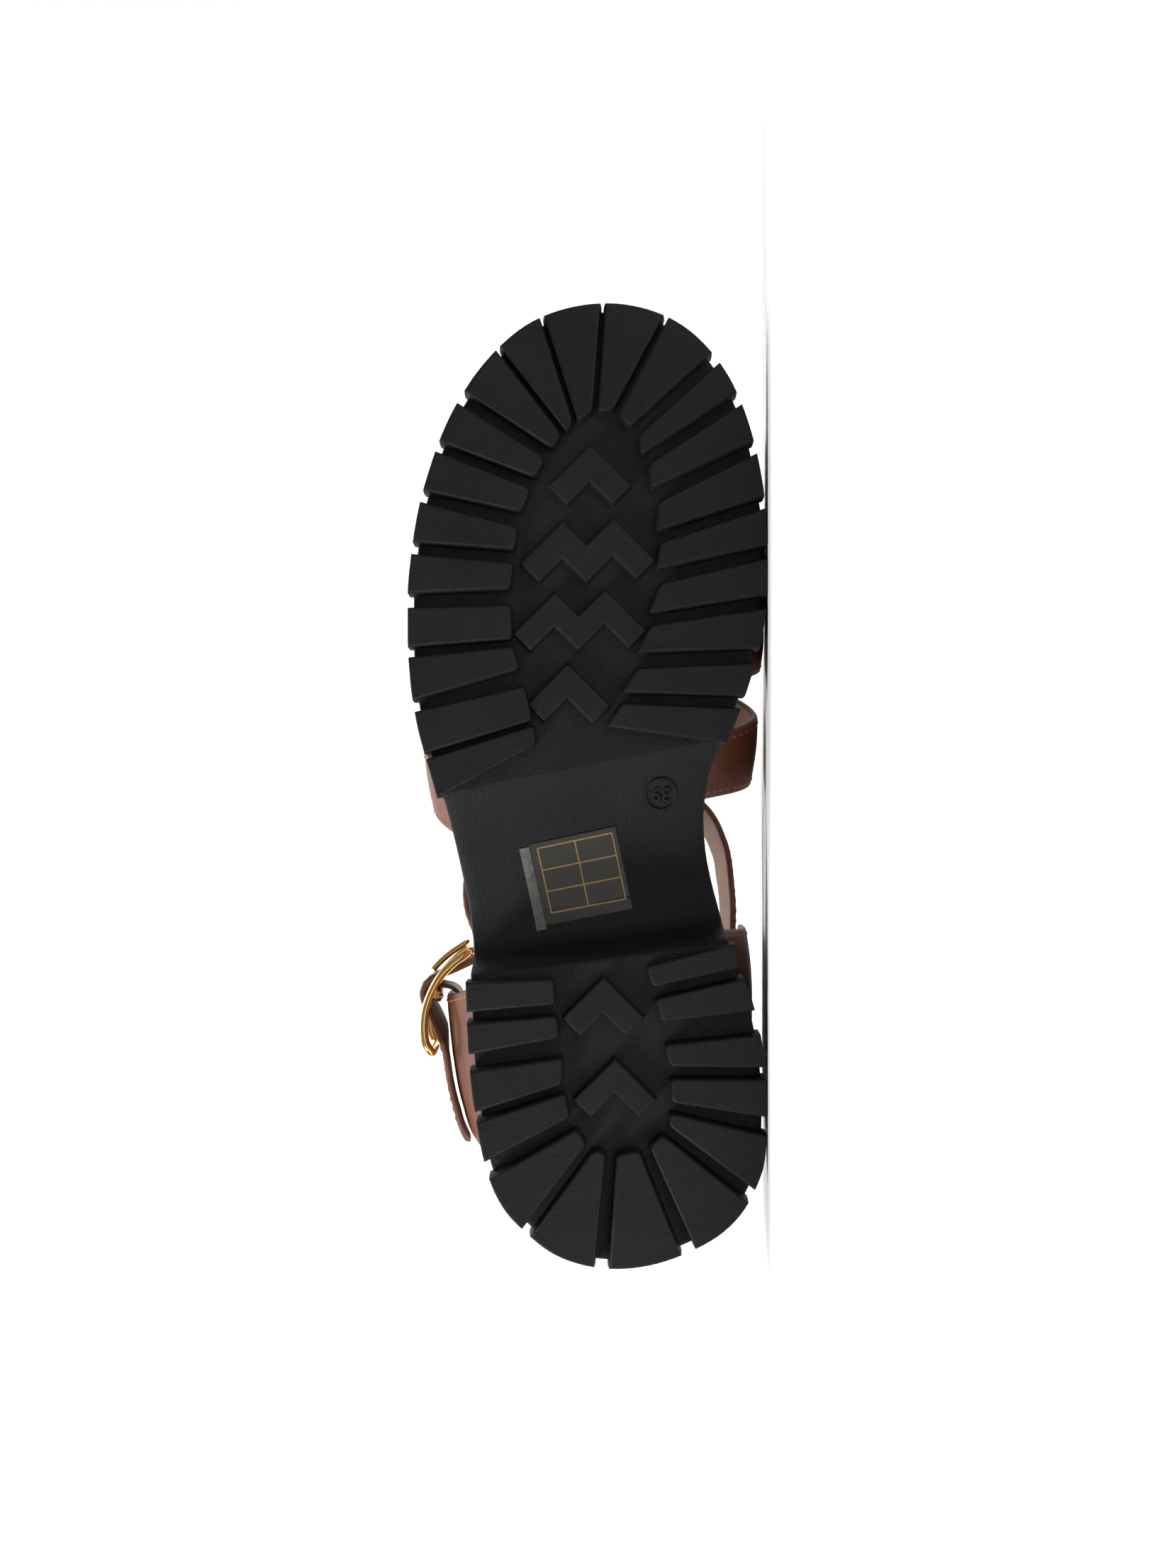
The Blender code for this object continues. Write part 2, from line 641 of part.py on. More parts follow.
def counter_share(x, side, z):
    """Share of the loop where the counter has this x on the given side."""
    lo, hi = (0.0, 0.5) if side > 0 else (1.0, 0.6)
    for _ in range(40):
        mid = (lo + hi) / 2
        if counter_at(mid, z).x > x:
            lo = mid
        else:
            hi = mid
    return (lo + hi) / 2


def ankle_rows(coarse, fine):
    """Centre line points of the ankle strap and the direction of its width."""
    rows = []
    n = 5
    for i in range(n):
        x = ANCHOR_END + (77.0 - ANCHOR_END) * i / (n - 1)
        c = counter_share(x, 1, STRAP_HEIGHT_M)
        p = counter_at(c, STRAP_HEIGHT_M) - counter_normal(c, STRAP_HEIGHT_M) * STRAP_OFFSET
        w = (counter_at(c, STRAP_HEIGHT_M + 8) - counter_at(c, STRAP_HEIGHT_M - 8)).normalized()
        rows.append((p, w))
    centre = Vector((72, 2, 0))
    for x, y, z, lean in ANKLE_FREE:
        p = Vector((x, y, z))
        inward = centre - Vector((x, y, 0))
        inward.normalize()
        a = math.radians(lean)
        rows.append((p, Vector((0, 0, 1)) * math.cos(a) + inward * math.sin(a)))
    n = 7
    for i in range(n):
        x = 47.5 + (TAIL_END - 47.5) * i / (n - 1)
        c = counter_share(x, -1, STRAP_HEIGHT_L)
        p = counter_at(c, STRAP_HEIGHT_L) + counter_normal(c, STRAP_HEIGHT_L) * STRAP_OFFSET
        w = (counter_at(c, STRAP_HEIGHT_L + 8) - counter_at(c, STRAP_HEIGHT_L - 8)).normalized()
        rows.append((p, w))
    # widths by nearest place along one dense spline
    marks = spline([p for p, w in rows], 1600)
    places = []
    start = 0
    for p, w in rows:
        k = min(range(start, 1600), key=lambda q: (marks[q] - p).length)
        places.append(k)
        start = k
    unit = (marks[1] - marks[0]).length
    picks, run = [0], 0.0
    for k in range(1, 1600):
        run += unit
        m = marks[k]
        near = m.y < -33 and 44 < m.x < 90
        if run >= (fine if near else coarse):
            picks.append(k)
            run = 0.0
    if 1599 - picks[-1] < 4:
        picks[-1] = 1599
    else:
        picks.append(1599)
    out = []
    for i in picks:
        k = 0
        while k < len(places) - 2 and i > places[k + 1]:
            k += 1
        t = (i - places[k]) / max(1, places[k + 1] - places[k])
        w = rows[k][1].lerp(rows[k + 1][1], max(0, min(1, t)))
        tangent = (marks[min(1599, i + 3)] - marks[max(0, i - 3)]).normalized()
        w = (w - tangent * w.dot(tangent)).normalized()
        out.append((marks[i], w, tangent, (1599 - i) * unit))
    return out


def ankle_surface(coarse, fine, across):
    rows = []
    for p, w, t, left in ankle_rows(coarse, fine):
        half = STRAP_WIDTH / 2
        if left < 10.0:                       # the tail narrows to a round tip
            half *= max(0.34, math.sqrt(max(0.0, 1 - ((10.0 - left) / 10.0) ** 2)))
        rows.append([p + w * half * (2 * j / across - 1) for j in range(across + 1)])
    return rows


def tube(name, points, radius, cyclic, sides):
    cu = bpy.data.curves.new(name, "CURVE")
    cu.dimensions = "3D"
    sp = cu.splines.new("POLY")
    sp.points.add(len(points) - 1)
    for k, p in enumerate(points):
        sp.points[k].co = (p[0] * MM, p[1] * MM, p[2] * MM, 1)
    sp.use_cyclic_u = cyclic
    cu.bevel_depth = radius * MM
    cu.bevel_resolution = sides
    cu.use_fill_caps = not cyclic
    return cu


def tube_mesh(name, points, radius, cyclic, sides, coll):
    cu = tube(name, points, radius, cyclic, sides)
    tmp = bpy.data.objects.new(name + "_tmp", cu)
    coll.objects.link(tmp)
    bpy.context.view_layer.update()
    dg = bpy.context.evaluated_depsgraph_get()
    mesh = bpy.data.meshes.new_from_object(tmp.evaluated_get(dg))
    mesh.name = name
    bpy.data.objects.remove(tmp, do_unlink=True)
    bm = bmesh.new()
    bm.from_mesh(mesh)
    bmesh.ops.remove_doubles(bm, verts=bm.verts, dist=0.00001)
    bmesh.ops.recalc_face_normals(bm, faces=bm.faces)
    bm.to_mesh(mesh)
    bm.free()
    return mesh


def buckle_rail(count):
    return spline([(x, y, 0) for x, y in BUCKLE_SIDE], count)


def buckle_loop(along, corner):
    """Closed loop of the frame: two bowed side rails and two end bars."""
    rail = buckle_rail(along)
    pts = []
    h = BUCKLE_HALF
    cut = 3.0
    lower = [Vector((p.x, p.y, BUCKLE_Z - h)) for p in rail]
    upper = [Vector((p.x, p.y, BUCKLE_Z + h)) for p in rail][::-1]
    for run, sign in ((lower, 1), (upper, -1)):
        inner = [p for p in run if (p - run[0]).length > cut and (p - run[-1]).length > cut]
        pts += inner
        end = run[-1]
        a = inner[-1]
        for k in range(1, corner + 1):
            t = k / (corner + 1)
            q = a.lerp(end, 1 - (1 - t) ** 2)
            q.z = end.z + sign * cut * t ** 2
            q.x = a.x + (end.x - a.x) * (1 - (1 - t) ** 2)
            pts.append(q)
        pts.append(Vector((end.x, end.y, end.z + sign * cut)))
        pts.append(Vector((end.x, end.y, BUCKLE_Z)))
        nxt = (upper if sign == 1 else lower)
        start = nxt[0]
        b = [p for p in nxt if (p - nxt[0]).length > cut][0]
        pts.append(Vector((start.x, start.y, start.z - sign * cut)))
        for k in range(1, corner + 1):
            t = 1 - k / (corner + 1)
            q = b.lerp(start, 1 - (1 - t) ** 2)
            q.z = start.z - sign * cut * t ** 2
            pts.append(q)
    return pts


# ---------------------------------------------------------------- collections
scene = bpy.context.scene
parts = bpy.data.collections.new("strappy_sandal")
cutters = bpy.data.collections.new("helpers")
scene.collection.children.link(parts)
scene.collection.children.link(cutters)
lay = bpy.data.objects.new("lay_on_side", None)
parts.objects.link(lay)

RUBBER = (0.018, 0.018, 0.020)
LEATHER_BROWN = (0.26, 0.095, 0.052)
GOLD = (0.83, 0.50, 0.17)

# -------------------------------------------------------------------- outsole
body = plate("outsole",
             [(WALL_INSET, lambda s, x: under(s) + spring(x)),
              (WALL_INSET, lambda s, x: top(x) - 1.0),
              (WALL_INSET + 1.0, lambda s, x: top(x))],
             None, None, 30, 7)
outsole = new_object("outsole", body, RUBBER, 0.6, 0.0, lay, parts)

verts, faces = [], []
for table in (FORE_GROOVES, HEEL_GROOVES):
    for shape in lug_shapes(table, 6.5):
        v, f = lug_block(shape)
        faces += [[i + len(verts) for i in q] for q in f]
        verts += v
for row in CHEVRONS:
    v, f = prism(chevron_outline(row), LUG_DEPTH - CHEVRON_RISE, LUG_DEPTH + 2.0)
    faces += [[i + len(verts) for i in q] for q in f]
    verts += v
blocks = bpy.data.objects.new("tread_blocks", mesh_from("tread_blocks", verts, faces))
cutters.objects.link(blocks)
blocks.parent = lay
blocks.hide_render = True
blocks.display_type = "WIRE"
join = outsole.modifiers.new("lugs", "BOOLEAN")
join.operation = "UNION"
join.solver = "EXACT"
join.use_self = True
join.object = blocks

# -------------------------------------------------------------------- footbed
bed = plate("footbed",
            [(FOOTBED_INSET + 0.4, lambda s, x: top(x) + GAP),
             (FOOTBED_INSET, lambda s, x: top(x) + GAP + 0.8),
             (FOOTBED_INSET, lambda s, x: top(x) + GAP + FOOTBED_THICK - 0.8),
             (FOOTBED_INSET + 0.9, lambda s, x: top(x) + GAP + FOOTBED_THICK)],
            None, None, 30, 3)
footbed = new_object("footbed", bed, (0.28, 0.17, 0.11), 0.6, 0.0, lay, parts)

# --------------------------------------------------------------------- straps
front_band = new_object("front_band", sheet("front_band", strap_surface(FRONT_BAND, 26, 6)),
                        LEATHER_BROWN, 0.5, 0.0, lay, parts)
thicken(front_band, BAND_WALL)
instep_strap = new_object("instep_strap", sheet("instep_strap", strap_surface(INSTEP_STRAP, 26, 3)),
                          LEATHER_BROWN, 0.5, 0.0, lay, parts)
thicken(instep_strap, LEATHER)

rows = [[counter_point(i / 30, j / 7) for j in range(8)] for i in range(31)]
heel_counter = new_object("heel_counter", sheet("heel_counter", rows), LEATHER_BROWN, 0.5, 0.0, lay, parts)
thicken(heel_counter, LEATHER)

ankle_strap = new_object("ankle_strap", sheet("ankle_strap", ankle_surface(7.0, 2.4, 2)),
                         LEATHER_BROWN, 0.5, 0.0, lay, parts)
thicken(ankle_strap, LEATHER)

# ------------------------------------------------------- buckle, tab and prong
frame_mesh = tube_mesh("buckle_frame", buckle_loop(14, 2), BUCKLE_WIRE, True, 1, cutters)
buckle_frame = new_object("buckle_frame", frame_mesh, GOLD, 0.3, 1.0, lay, parts)
bar_mesh = tube_mesh("centre_bar", [(BAR[0], BAR[1] - 0.6, BUCKLE_Z - BUCKLE_HALF - 0.2),
                                    (BAR[0], BAR[1], BUCKLE_Z - BUCKLE_HALF + 2.6),
                                    (BAR[0], BAR[1], BUCKLE_Z + BUCKLE_HALF - 2.6),
                                    (BAR[0], BAR[1] - 0.6, BUCKLE_Z + BUCKLE_HALF + 0.2)],
                     BUCKLE_BAR, False, 1, cutters)
bar = bpy.data.objects.new("centre_bar", bar_mesh)
cutters.objects.link(bar)
bar.parent = lay
bar.hide_render = True
bar.display_type = "WIRE"
weld = buckle_frame.modifiers.new("bar", "BOOLEAN")
weld.operation = "UNION"
weld.solver = "EXACT"
weld.object = bar

prong_line = spline([(x, y, BUCKLE_Z) for x, y in PRONG], 9)
buckle_prong = new_object("buckle_prong",
                          tube_mesh("buckle_prong", prong_line, PRONG_WIRE, False, 1, cutters),
                          GOLD, 0.3, 1.0, lay, parts)


def tab_line():
    pts = []
    for i in range(4):
        x = TAB_START + (64.0 - TAB_START) * i / 3
        low = BUCKLE_Z - TAB_HEIGHT / 2
        c = counter_share(x, -1, low)
        pts.append(counter_at(c, low) - counter_normal(c, low) * (LEATHER / 2 + TAB_WALL / 2 + 0.5))
    pts += [Vector((x, y, BUCKLE_Z)) for x, y in TAB_FREE]
    r = BUCKLE_BAR + 0.35 + TAB_WALL / 2
    for k in range(7):
        a = -math.radians(200) * k / 6
        pts.append(Vector((BAR[0] + r * math.cos(a), BAR[1] + r * math.sin(a), BUCKLE_Z)))
    for p in pts:
        p.z = BUCKLE_Z
    return pts


tab_rows = [[p + Vector((0, 0, TAB_HEIGHT * (j - 0.5))) for j in (0, 1)] for p in tab_line()]
buckle_tab = new_object("buckle_tab", sheet("buckle_tab", tab_rows), LEATHER_BROWN, 0.5, 0.0, lay, parts)
thicken(buckle_tab, TAB_WALL)

# ---------------------------------------------------------- lay it on its side
bpy.context.view_layer.update()
dg = bpy.context.evaluated_depsgraph_get()


def points_of(ob):
    ev = ob.evaluated_get(dg)
    me = ev.to_mesh()
    pts = [v.co.copy() for v in me.vertices]
    ev.to_mesh_clear()
    return pts


def triangles_of(ob):
    ev = ob.evaluated_get(dg)
    me = ev.to_mesh()
    me.calc_loop_triangles()
    tris = [[me.vertices[i].co.copy() for i in t.vertices] for t in me.loop_triangles]
    ev.to_mesh_clear()
    return tris


pieces = [ob for ob in parts.objects if ob.type == "MESH"]
volume, moment = 0.0, Vector()
for ob in pieces:
    for a, b, c in triangles_of(ob):
        v = a.dot(b.cross(c)) / 6
        volume += v
        moment += (a + b + c) * (v / 4)
centre = moment / volume

# the plane the shoe settles on: the face of its convex hull, on the medial
# side, that its centre of mass stands over
hull = bmesh.new()
for ob in pieces:
    for p in points_of(ob):
        hull.verts.new(p)
bmesh.ops.remove_doubles(hull, verts=hull.verts, dist=0.00002)
bmesh.ops.convex_hull(hull, input=hull.verts, use_existing_faces=False)
best = None
for face in hull.faces:
    a, b, c = [v.co for v in face.verts][:3]
    n = (b - a).cross(c - a)
    if n.length < 1e-12:
        continue
    n.normalize()
    if n.dot(a - centre) < 0:
        n = -n
    if n.y < 0.9:
        continue
    far = n.dot(a - centre)
    q = centre + n * far
    shares = [(v - u).cross(q - u).dot((b - a).cross(c - a)) for u, v in ((a, b), (b, c), (c, a))]
    total = sum(shares)
    shares = [w / total for w in shares]
    if min(shares) >= 0 and (best is None or far < best[0]):
        best = (far, n, [v.co.copy() for v in face.verts], shares)
far, down, feet, shares = best
hull.free()

zz = -down
xx = (Vector((1, 0, 0)) - zz * zz.x).normalized()
yy = zz.cross(xx)
turn = Matrix((xx, yy, zz)).to_4x4()
everything = [turn @ p for ob in pieces for p in points_of(ob)]
low = Vector((min(p.x for p in everything), min(p.y for p in everything), min(p.z for p in everything)))
high = Vector((max(p.x for p in everything), max(p.y for p in everything), max(p.z for p in everything)))
lay.rotation_mode = "QUATERNION"
lay.rotation_quaternion = turn.to_quaternion()
lay.location = (-(low.x + high.x) / 2, -(low.y + high.y) / 2, -low.z)
bpy.context.view_layer.update()
print("centre", [round(v * 1000, 2) for v in centre], "feet", [[round(v * 1000, 1) for v in p] for p in feet],
      "shares", [round(w, 3) for w in shares])
for r in lay.matrix_world:
    print("row", [round(v, 8) for v in r])
print("size", [round(v * 1000, 1) for v in (high - low)])
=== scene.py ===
"""Looks of the strappy sandal, right shoe, lying on its medial side.

The shape comes from the same tables as the CAD part, drawn finer.  Points are
worked out standing, in millimetres: x from the heel back to the toe, y to the
medial side, z up from the tread.  row() carries them into the row's frame.
"""
import math

import bpy
import bmesh
import numpy as np
from mathutils import Vector, Matrix


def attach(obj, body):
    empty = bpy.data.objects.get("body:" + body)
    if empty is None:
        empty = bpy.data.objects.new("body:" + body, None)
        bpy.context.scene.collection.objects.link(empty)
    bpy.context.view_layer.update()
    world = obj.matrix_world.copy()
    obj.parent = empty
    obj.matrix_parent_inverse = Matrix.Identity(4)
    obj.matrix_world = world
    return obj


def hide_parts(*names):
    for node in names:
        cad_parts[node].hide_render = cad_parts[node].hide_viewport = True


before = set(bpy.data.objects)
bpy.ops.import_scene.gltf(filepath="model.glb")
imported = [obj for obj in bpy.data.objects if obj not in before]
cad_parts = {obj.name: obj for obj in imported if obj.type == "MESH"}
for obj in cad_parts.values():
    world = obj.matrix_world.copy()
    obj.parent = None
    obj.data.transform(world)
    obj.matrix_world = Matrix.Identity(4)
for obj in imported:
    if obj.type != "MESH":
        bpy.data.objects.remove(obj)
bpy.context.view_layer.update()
MM = 0.001
ROLL = math.asin(0.08313413)
PLACE = (-134.506, -57.298, 49.821)

MM = 0.001

# ------------------------------------------------------------------ sizes, mm
LENGTH = 270.0          # heel back to toe tip
LUG_DEPTH = 5.0         # tread plane to groove floor
LUG_WRAP = 9.0          # how far a lug climbs the side wall
WALL_INSET = 1.2        # side wall behind the lugs' outer faces
TOE_SPRING = 5.0        # rise of the tread at the tip
SPRING_START = 212.0    # x where the toe spring begins
GAP = 0.3               # between neighbouring pieces
LEATHER = 2.2           # wall of instep strap, ankle strap and counter
BAND_WALL = 2.4         # wall of the front band
BASE_INSET = 2.4        # mid wall of the straps inside the sole's outline
FOOTBED_INSET = 4.45
STRAP_LIFT = 0.9        # foot of the straps above the sole, beside the footbed
FOOTBED_THICK = 4.0
STRAP_WIDTH = 18.0      # ankle strap
BUCKLE_WIRE = 1.35      # radius of the buckle's frame
BUCKLE_BAR = 1.3        # radius of its centre bar
PRONG_WIRE = 0.95
TAB_WALL = 1.3

# ------------------------------------------------- sole outline, both sides
# columns: x, reach to the lateral side, reach to the medial side
OUTLINE = [
    (0.0, -7.9, 7.9), (4.1, 9.5, 26.8), (10.0, 17.2, 37.4), (15.9, 22.9, 43.1),
    (21.9, 26.3, 46.5), (29.7, 28.9, 49.1), (41.5, 31.2, 50.0),
    (53.4, 32.8, 49.6), (65.2, 33.6, 48.0), (77.0, 34.0, 45.0),
    (86.0, 34.5, 41.6), (96.7, 35.6, 39.8), (106.5, 37.2, 37.3),
    (116.4, 38.9, 35.3), (126.2, 40.8, 34.5), (136.1, 43.4, 35.4),
    (143.9, 45.7, 37.7), (151.8, 47.7, 41.0), (163.6, 49.5, 45.1),
    (175.4, 50.2, 48.4), (187.3, 50.2, 49.8), (199.0, 49.2, 50.0),
    (210.9, 47.3, 49.5), (222.7, 44.1, 47.9), (234.5, 39.8, 45.1),
    (246.3, 33.5, 40.6), (252.2, 29.3, 37.2), (258.1, 24.0, 32.6),
    (264.0, 16.7, 25.8), (270.0, -5.3, 5.3),
]
# shear of the cross lines of the sole: station x, half shift of its two ends
SHEAR = [(0, 0), (30, 0), (86, 4.9), (112, 6.2), (137.6, 7.4), (170, 3.4),
         (200, 0), (270, 0)]
# underside of the sole body: station x, height
UNDER = [(0, 5.0), (85.4, 5.0), (86.2, 5.9), (88.6, 18.5), (90.4, 22.4),
         (94.0, 24.6), (99.0, 24.9), (106.0, 23.4), (115.0, 19.6),
         (125.0, 13.9), (132.0, 9.4), (136.2, 6.7), (137.6, 6.0),
         (139.0, 5.0), (212, 5.0), (270, 5.0)]
# top of the sole body: x, height
TOP = [(0, 47.2), (40, 47.0), (60, 46.6), (75, 45.0), (90, 41.6),
       (105, 37.0), (120, 32.8), (135, 29.6), (150, 27.8), (170, 27.0),
       (195, 26.8), (212, 27.0), (240, 28.7), (270, 32.0)]

# ------------------------------------------------------------ tread grooves
# columns: outer end x, side, width; inner end x, side, width
# side is measured to the lateral side; the first and last rows are plain ends
FORE_GROOVES = [
    (131.6, 40.6, 0.0, 145.9, 14.4, 0.0),
    (142.8, 44.4, 1.9, 151.9, 15.4, 1.5), (157.0, 46.6, 3.5, 164.5, 18.4, 5.0),
    (171.7, 48.6, 3.0, 174.2, 21.1, 2.2), (186.0, 49.2, 4.2, 186.9, 21.5, 4.6),
    (200.5, 47.9, 3.5, 198.2, 20.6, 3.8), (214.6, 44.6, 3.5, 208.4, 19.1, 4.6),
    (228.2, 40.0, 3.2, 218.6, 15.4, 3.5), (241.8, 33.8, 4.0, 226.9, 11.1, 3.7),
    (256.4, 24.9, 1.6, 232.6, 6.8, 1.8), (264.3, 12.5, 1.4, 235.7, 3.5, 1.6),
    (269.1, -4.1, 1.4, 238.8, -2.0, 1.6), (265.1, -21.4, 1.6, 238.6, -7.7, 1.8),
    (253.5, -35.0, 3.7, 233.1, -12.8, 3.3), (242.1, -41.6, 3.7, 225.1, -15.8, 3.3),
    (228.2, -45.5, 3.7, 215.2, -18.7, 4.2), (213.3, -49.1, 3.5, 203.6, -19.6, 3.3),
    (199.6, -49.9, 4.0, 192.6, -19.6, 4.2), (185.6, -49.3, 4.0, 180.7, -17.2, 3.5),
    (170.6, -47.5, 4.4, 169.3, -13.6, 4.4), (157.7, -41.1, 3.7, 158.9, -9.4, 3.1),
    (146.2, -38.6, 0.0, 150.9, -5.3, 0.0),
]
HEEL_GROOVES = [
    (79.7, 33.6, 0.0, 80.6, 9.7, 0.0),
    (69.9, 33.1, 3.2, 72.0, 9.0, 3.4), (57.4, 32.5, 4.8, 61.5, 7.6, 5.7),
    (42.4, 30.6, 2.9, 50.1, 6.9, 2.7), (27.8, 27.4, 4.8, 40.5, 4.3, 3.8),
    (11.2, 16.4, 3.1, 33.9, -0.5, 2.5), (0.4, -3.8, 4.2, 31.9, -6.5, 3.2),
    (5.0, -27.8, 4.4, 33.4, -15.7, 3.2), (20.5, -45.1, 4.0, 38.6, -21.6, 3.2),
    (39.6, -49.9, 5.3, 44.8, -23.2, 3.1), (54.4, -49.1, 3.4, 54.6, -22.9, 3.6),
    (68.5, -46.8, 7.0, 65.6, -21.1, 6.5), (82.5, -43.4, 3.4, 76.8, -18.6, 3.6),
    (90.4, -40.6, 0.0, 84.1, -16.3, 0.0),
]
CHEVRON_RISE = 3.6
# chevrons in the two hollows: peak x, peak side, arm length towards the
# lateral side, arm towards the medial side, bar width, double or single
CHEVRONS = [
    (229.6, -0.6, 16.2, 16.3, 7.3, 1), (208.1, 7.0, 16.4, 9.4, 7.2, 2),
    (188.3, 9.2, 16.2, 9.3, 6.6, 2), (168.4, 5.7, 15.9, 16.7, 6.6, 1),
    (81.0, -4.3, 16.0, 15.8, 6.9, 1), (58.3, -7.5, 16.1, 16.1, 6.6, 1),
]

# ------------------------------------------------- last: the foot's sections
# columns: x, medial bulge and its height, lateral bulge and its height,
# crown offset to the medial side, crown height (mid wall of the upper)
LAST = [
    (108, 45.0, 66, 42.0, 62, 2, 117), (122, 47.8, 63, 45.5, 58, 3, 108),
    (136, 50.0, 60, 48.4, 54, 5, 98), (150, 51.4, 56, 49.6, 50, 7, 89),
    (165, 51.3, 50, 50.0, 46, 9, 80.5), (182, 52.3, 44, 50.4, 43, 10, 72.5),
    (198, 52.4, 42, 50.0, 42, 10.5, 66), (214, 51.2, 42, 47.6, 41.5, 10, 60.5),
    (230, 48.0, 42, 43.0, 41.5, 9, 56.5), (246, 42.0, 42, 36.0, 41.5, 7, 54),
]
# straps on the last. columns: s (0 medial base, 0.5 crown, 1 lateral base),
# rear edge x, front edge x
FRONT_BAND = [(0.0, 165.0, 236.0), (0.12, 168.5, 238.0), (0.28, 177.0, 236.0),
              (0.5, 188.0, 230.0), (0.72, 178.0, 225.0), (0.88, 164.0, 224.0),
              (1.0, 157.0, 222.0)]
INSTEP_STRAP = [(0.0, 129.5, 148.0), (0.12, 132.5, 154.0), (0.28, 141.0, 164.0),
                (0.5, 155.5, 177.5), (0.72, 140.5, 163.0), (0.88, 125.0, 147.0),
                (1.0, 116.5, 137.0)]

# ------------------------------------------- heel counter, mid wall of its rim
# columns: x, y (medial positive), height of the rim, share of the base loop
RIM = [
    (88.5, 50.3, 92.0, 0.00), (75.0, 52.1, 94.5, 0.08), (60.0, 52.4, 96.5, 0.165),
    (44.0, 50.4, 98.0, 0.255), (28.0, 45.3, 99.5, 0.34), (13.0, 34.0, 101.0, 0.425),
    (4.2, 18.0, 102.0, 0.505), (3.0, 0.5, 102.0, 0.585), (8.0, -19.0, 101.0, 0.67),
    (18.2, -34.6, 99.5, 0.76), (31.0, -40.2, 98.0, 0.835), (46.0, -43.1, 96.5, 0.92),
    (66.5, -45.2, 95.0, 1.00),
]
COUNTER_FRONT_M = 91.0   # where the wings stand on the sole, medial
COUNTER_FRONT_L = 74.0   # and lateral

# ---------------------------------------------------- ankle strap, centre line
# columns: x, y, z, inward lean of the width in degrees
ANKLE_FREE = [
    (86.0, 45.8, 82.9, 6), (94.5, 45.6, 84.4, 8), (104.0, 45.0, 86.8, 10),
    (114.0, 43.3, 90.5, 12),
    (123.5, 38.6, 95.5, 16), (131.5, 29.0, 102.0, 21), (137.0, 15.5, 108.0, 26),
    (138.5, 1.0, 110.5, 28), (136.0, -13.5, 108.5, 26), (129.0, -26.0, 103.0, 20),
    (118.5, -34.2, 96.5, 15), (107.0, -37.8, 92.0, 11), (96.0, -38.6, 89.0, 8),
    (88.5, -36.4, 87.6, 5), (83.2, -34.4, 87.0, 3), (78.9, -35.3, 86.6, 3),
    (75.6, -41.4, 86.5, 3), (73.2, -47.2, 86.4, 3), (70.9, -51.3, 86.3, 3),
    (67.2, -52.9, 86.2, 3), (63.6, -51.9, 86.2, 3), (60.0, -50.0, 86.1, 3),
    (55.0, -47.9, 86.0, 3),
]
STRAP_HEIGHT_M = 82.4    # centre line where the strap lies in the counter
STRAP_HEIGHT_L = 86.0    # and where its tail lies on the counter
STRAP_OFFSET = 3.2       # mid wall of the strap from mid wall of the counter
TAIL_END = 19.5          # x of the tail's tip
ANCHOR_END = 62.0        # x of the strap's sewn end inside the counter

# buckle, side view along its height: x, y of the frame's wire centre
BUCKLE_SIDE = [(81.0, -38.2), (77.4, -43.2), (73.0, -47.4), (67.6, -50.4),
               (62.0, -52.2), (56.4, -52.7), (51.6, -52.0), (48.4, -50.2)]
BUCKLE_HALF = 11.4       # half height of the frame between wire centres
BUCKLE_Z = 86.3
BAR = (67.2, -48.3)      # centre bar, x and y
# prong, from where it leaves the strap to its tip on the front bar: x, y
PRONG = [(74.2, -50.6), (76.8, -48.2), (79.6, -44.9), (82.1, -41.2), (83.7, -38.9)]
# tab folded round the centre bar, past the counter's front edge: x, y
TAB_FREE = [(66.9, -42.0), (68.7, -44.0), (69.35, -46.4)]
TAB_START = 52.0         # x of its sewn end inside the counter
TAB_HEIGHT = 12.0


# ------------------------------------------------------------------ functions
def pchip(xs, ys):
    """Monotone cubic through the rows of a table."""
    n = len(xs)
    h = [xs[i + 1] - xs[i] for i in range(n - 1)]
    d = [(ys[i + 1] - ys[i]) / h[i] for i in range(n - 1)]
    m = [0.0] * n
    for i in range(1, n - 1):
        if d[i - 1] * d[i] > 0:
            w1 = 2 * h[i] + h[i - 1]
            w2 = h[i] + 2 * h[i - 1]
            m[i] = (w1 + w2) / (w1 / d[i - 1] + w2 / d[i])
    m[0] = d[0]
    m[-1] = d[-1]

    def f(x):
        if x <= xs[0]:
            return ys[0]
        if x >= xs[-1]:
            return ys[-1]
        k = 0
        while x > xs[k + 1]:
            k += 1
        t = (x - xs[k]) / h[k]
        a = (1 + 2 * t) * (1 - t) ** 2
        b = t * (1 - t) ** 2
        c = t * t * (3 - 2 * t)
        e = t * t * (t - 1)
        return a * ys[k] + b * h[k] * m[k] + c * ys[k + 1] + e * h[k] * m[k + 1]
    return f


def spline(points, count):
    """Catmull-Rom through points, resampled at equal steps of length."""
    pts = [Vector(p) for p in points]
    dense = []
    for i in range(len(pts) - 1):
        p0 = pts[i - 1] if i > 0 else pts[i] * 2 - pts[i + 1]
        p1, p2 = pts[i], pts[i + 1]
        p3 = pts[i + 2] if i + 2 < len(pts) else pts[i + 1] * 2 - pts[i]
        for k in range(24):
            t = k / 24
            dense.append(0.5 * ((2 * p1) + (p2 - p0) * t
                                + (2 * p0 - 5 * p1 + 4 * p2 - p3) * t * t
                                + (3 * p1 - p0 - 3 * p2 + p3) * t ** 3))
    dense.append(pts[-1])
    return resample(dense, count)


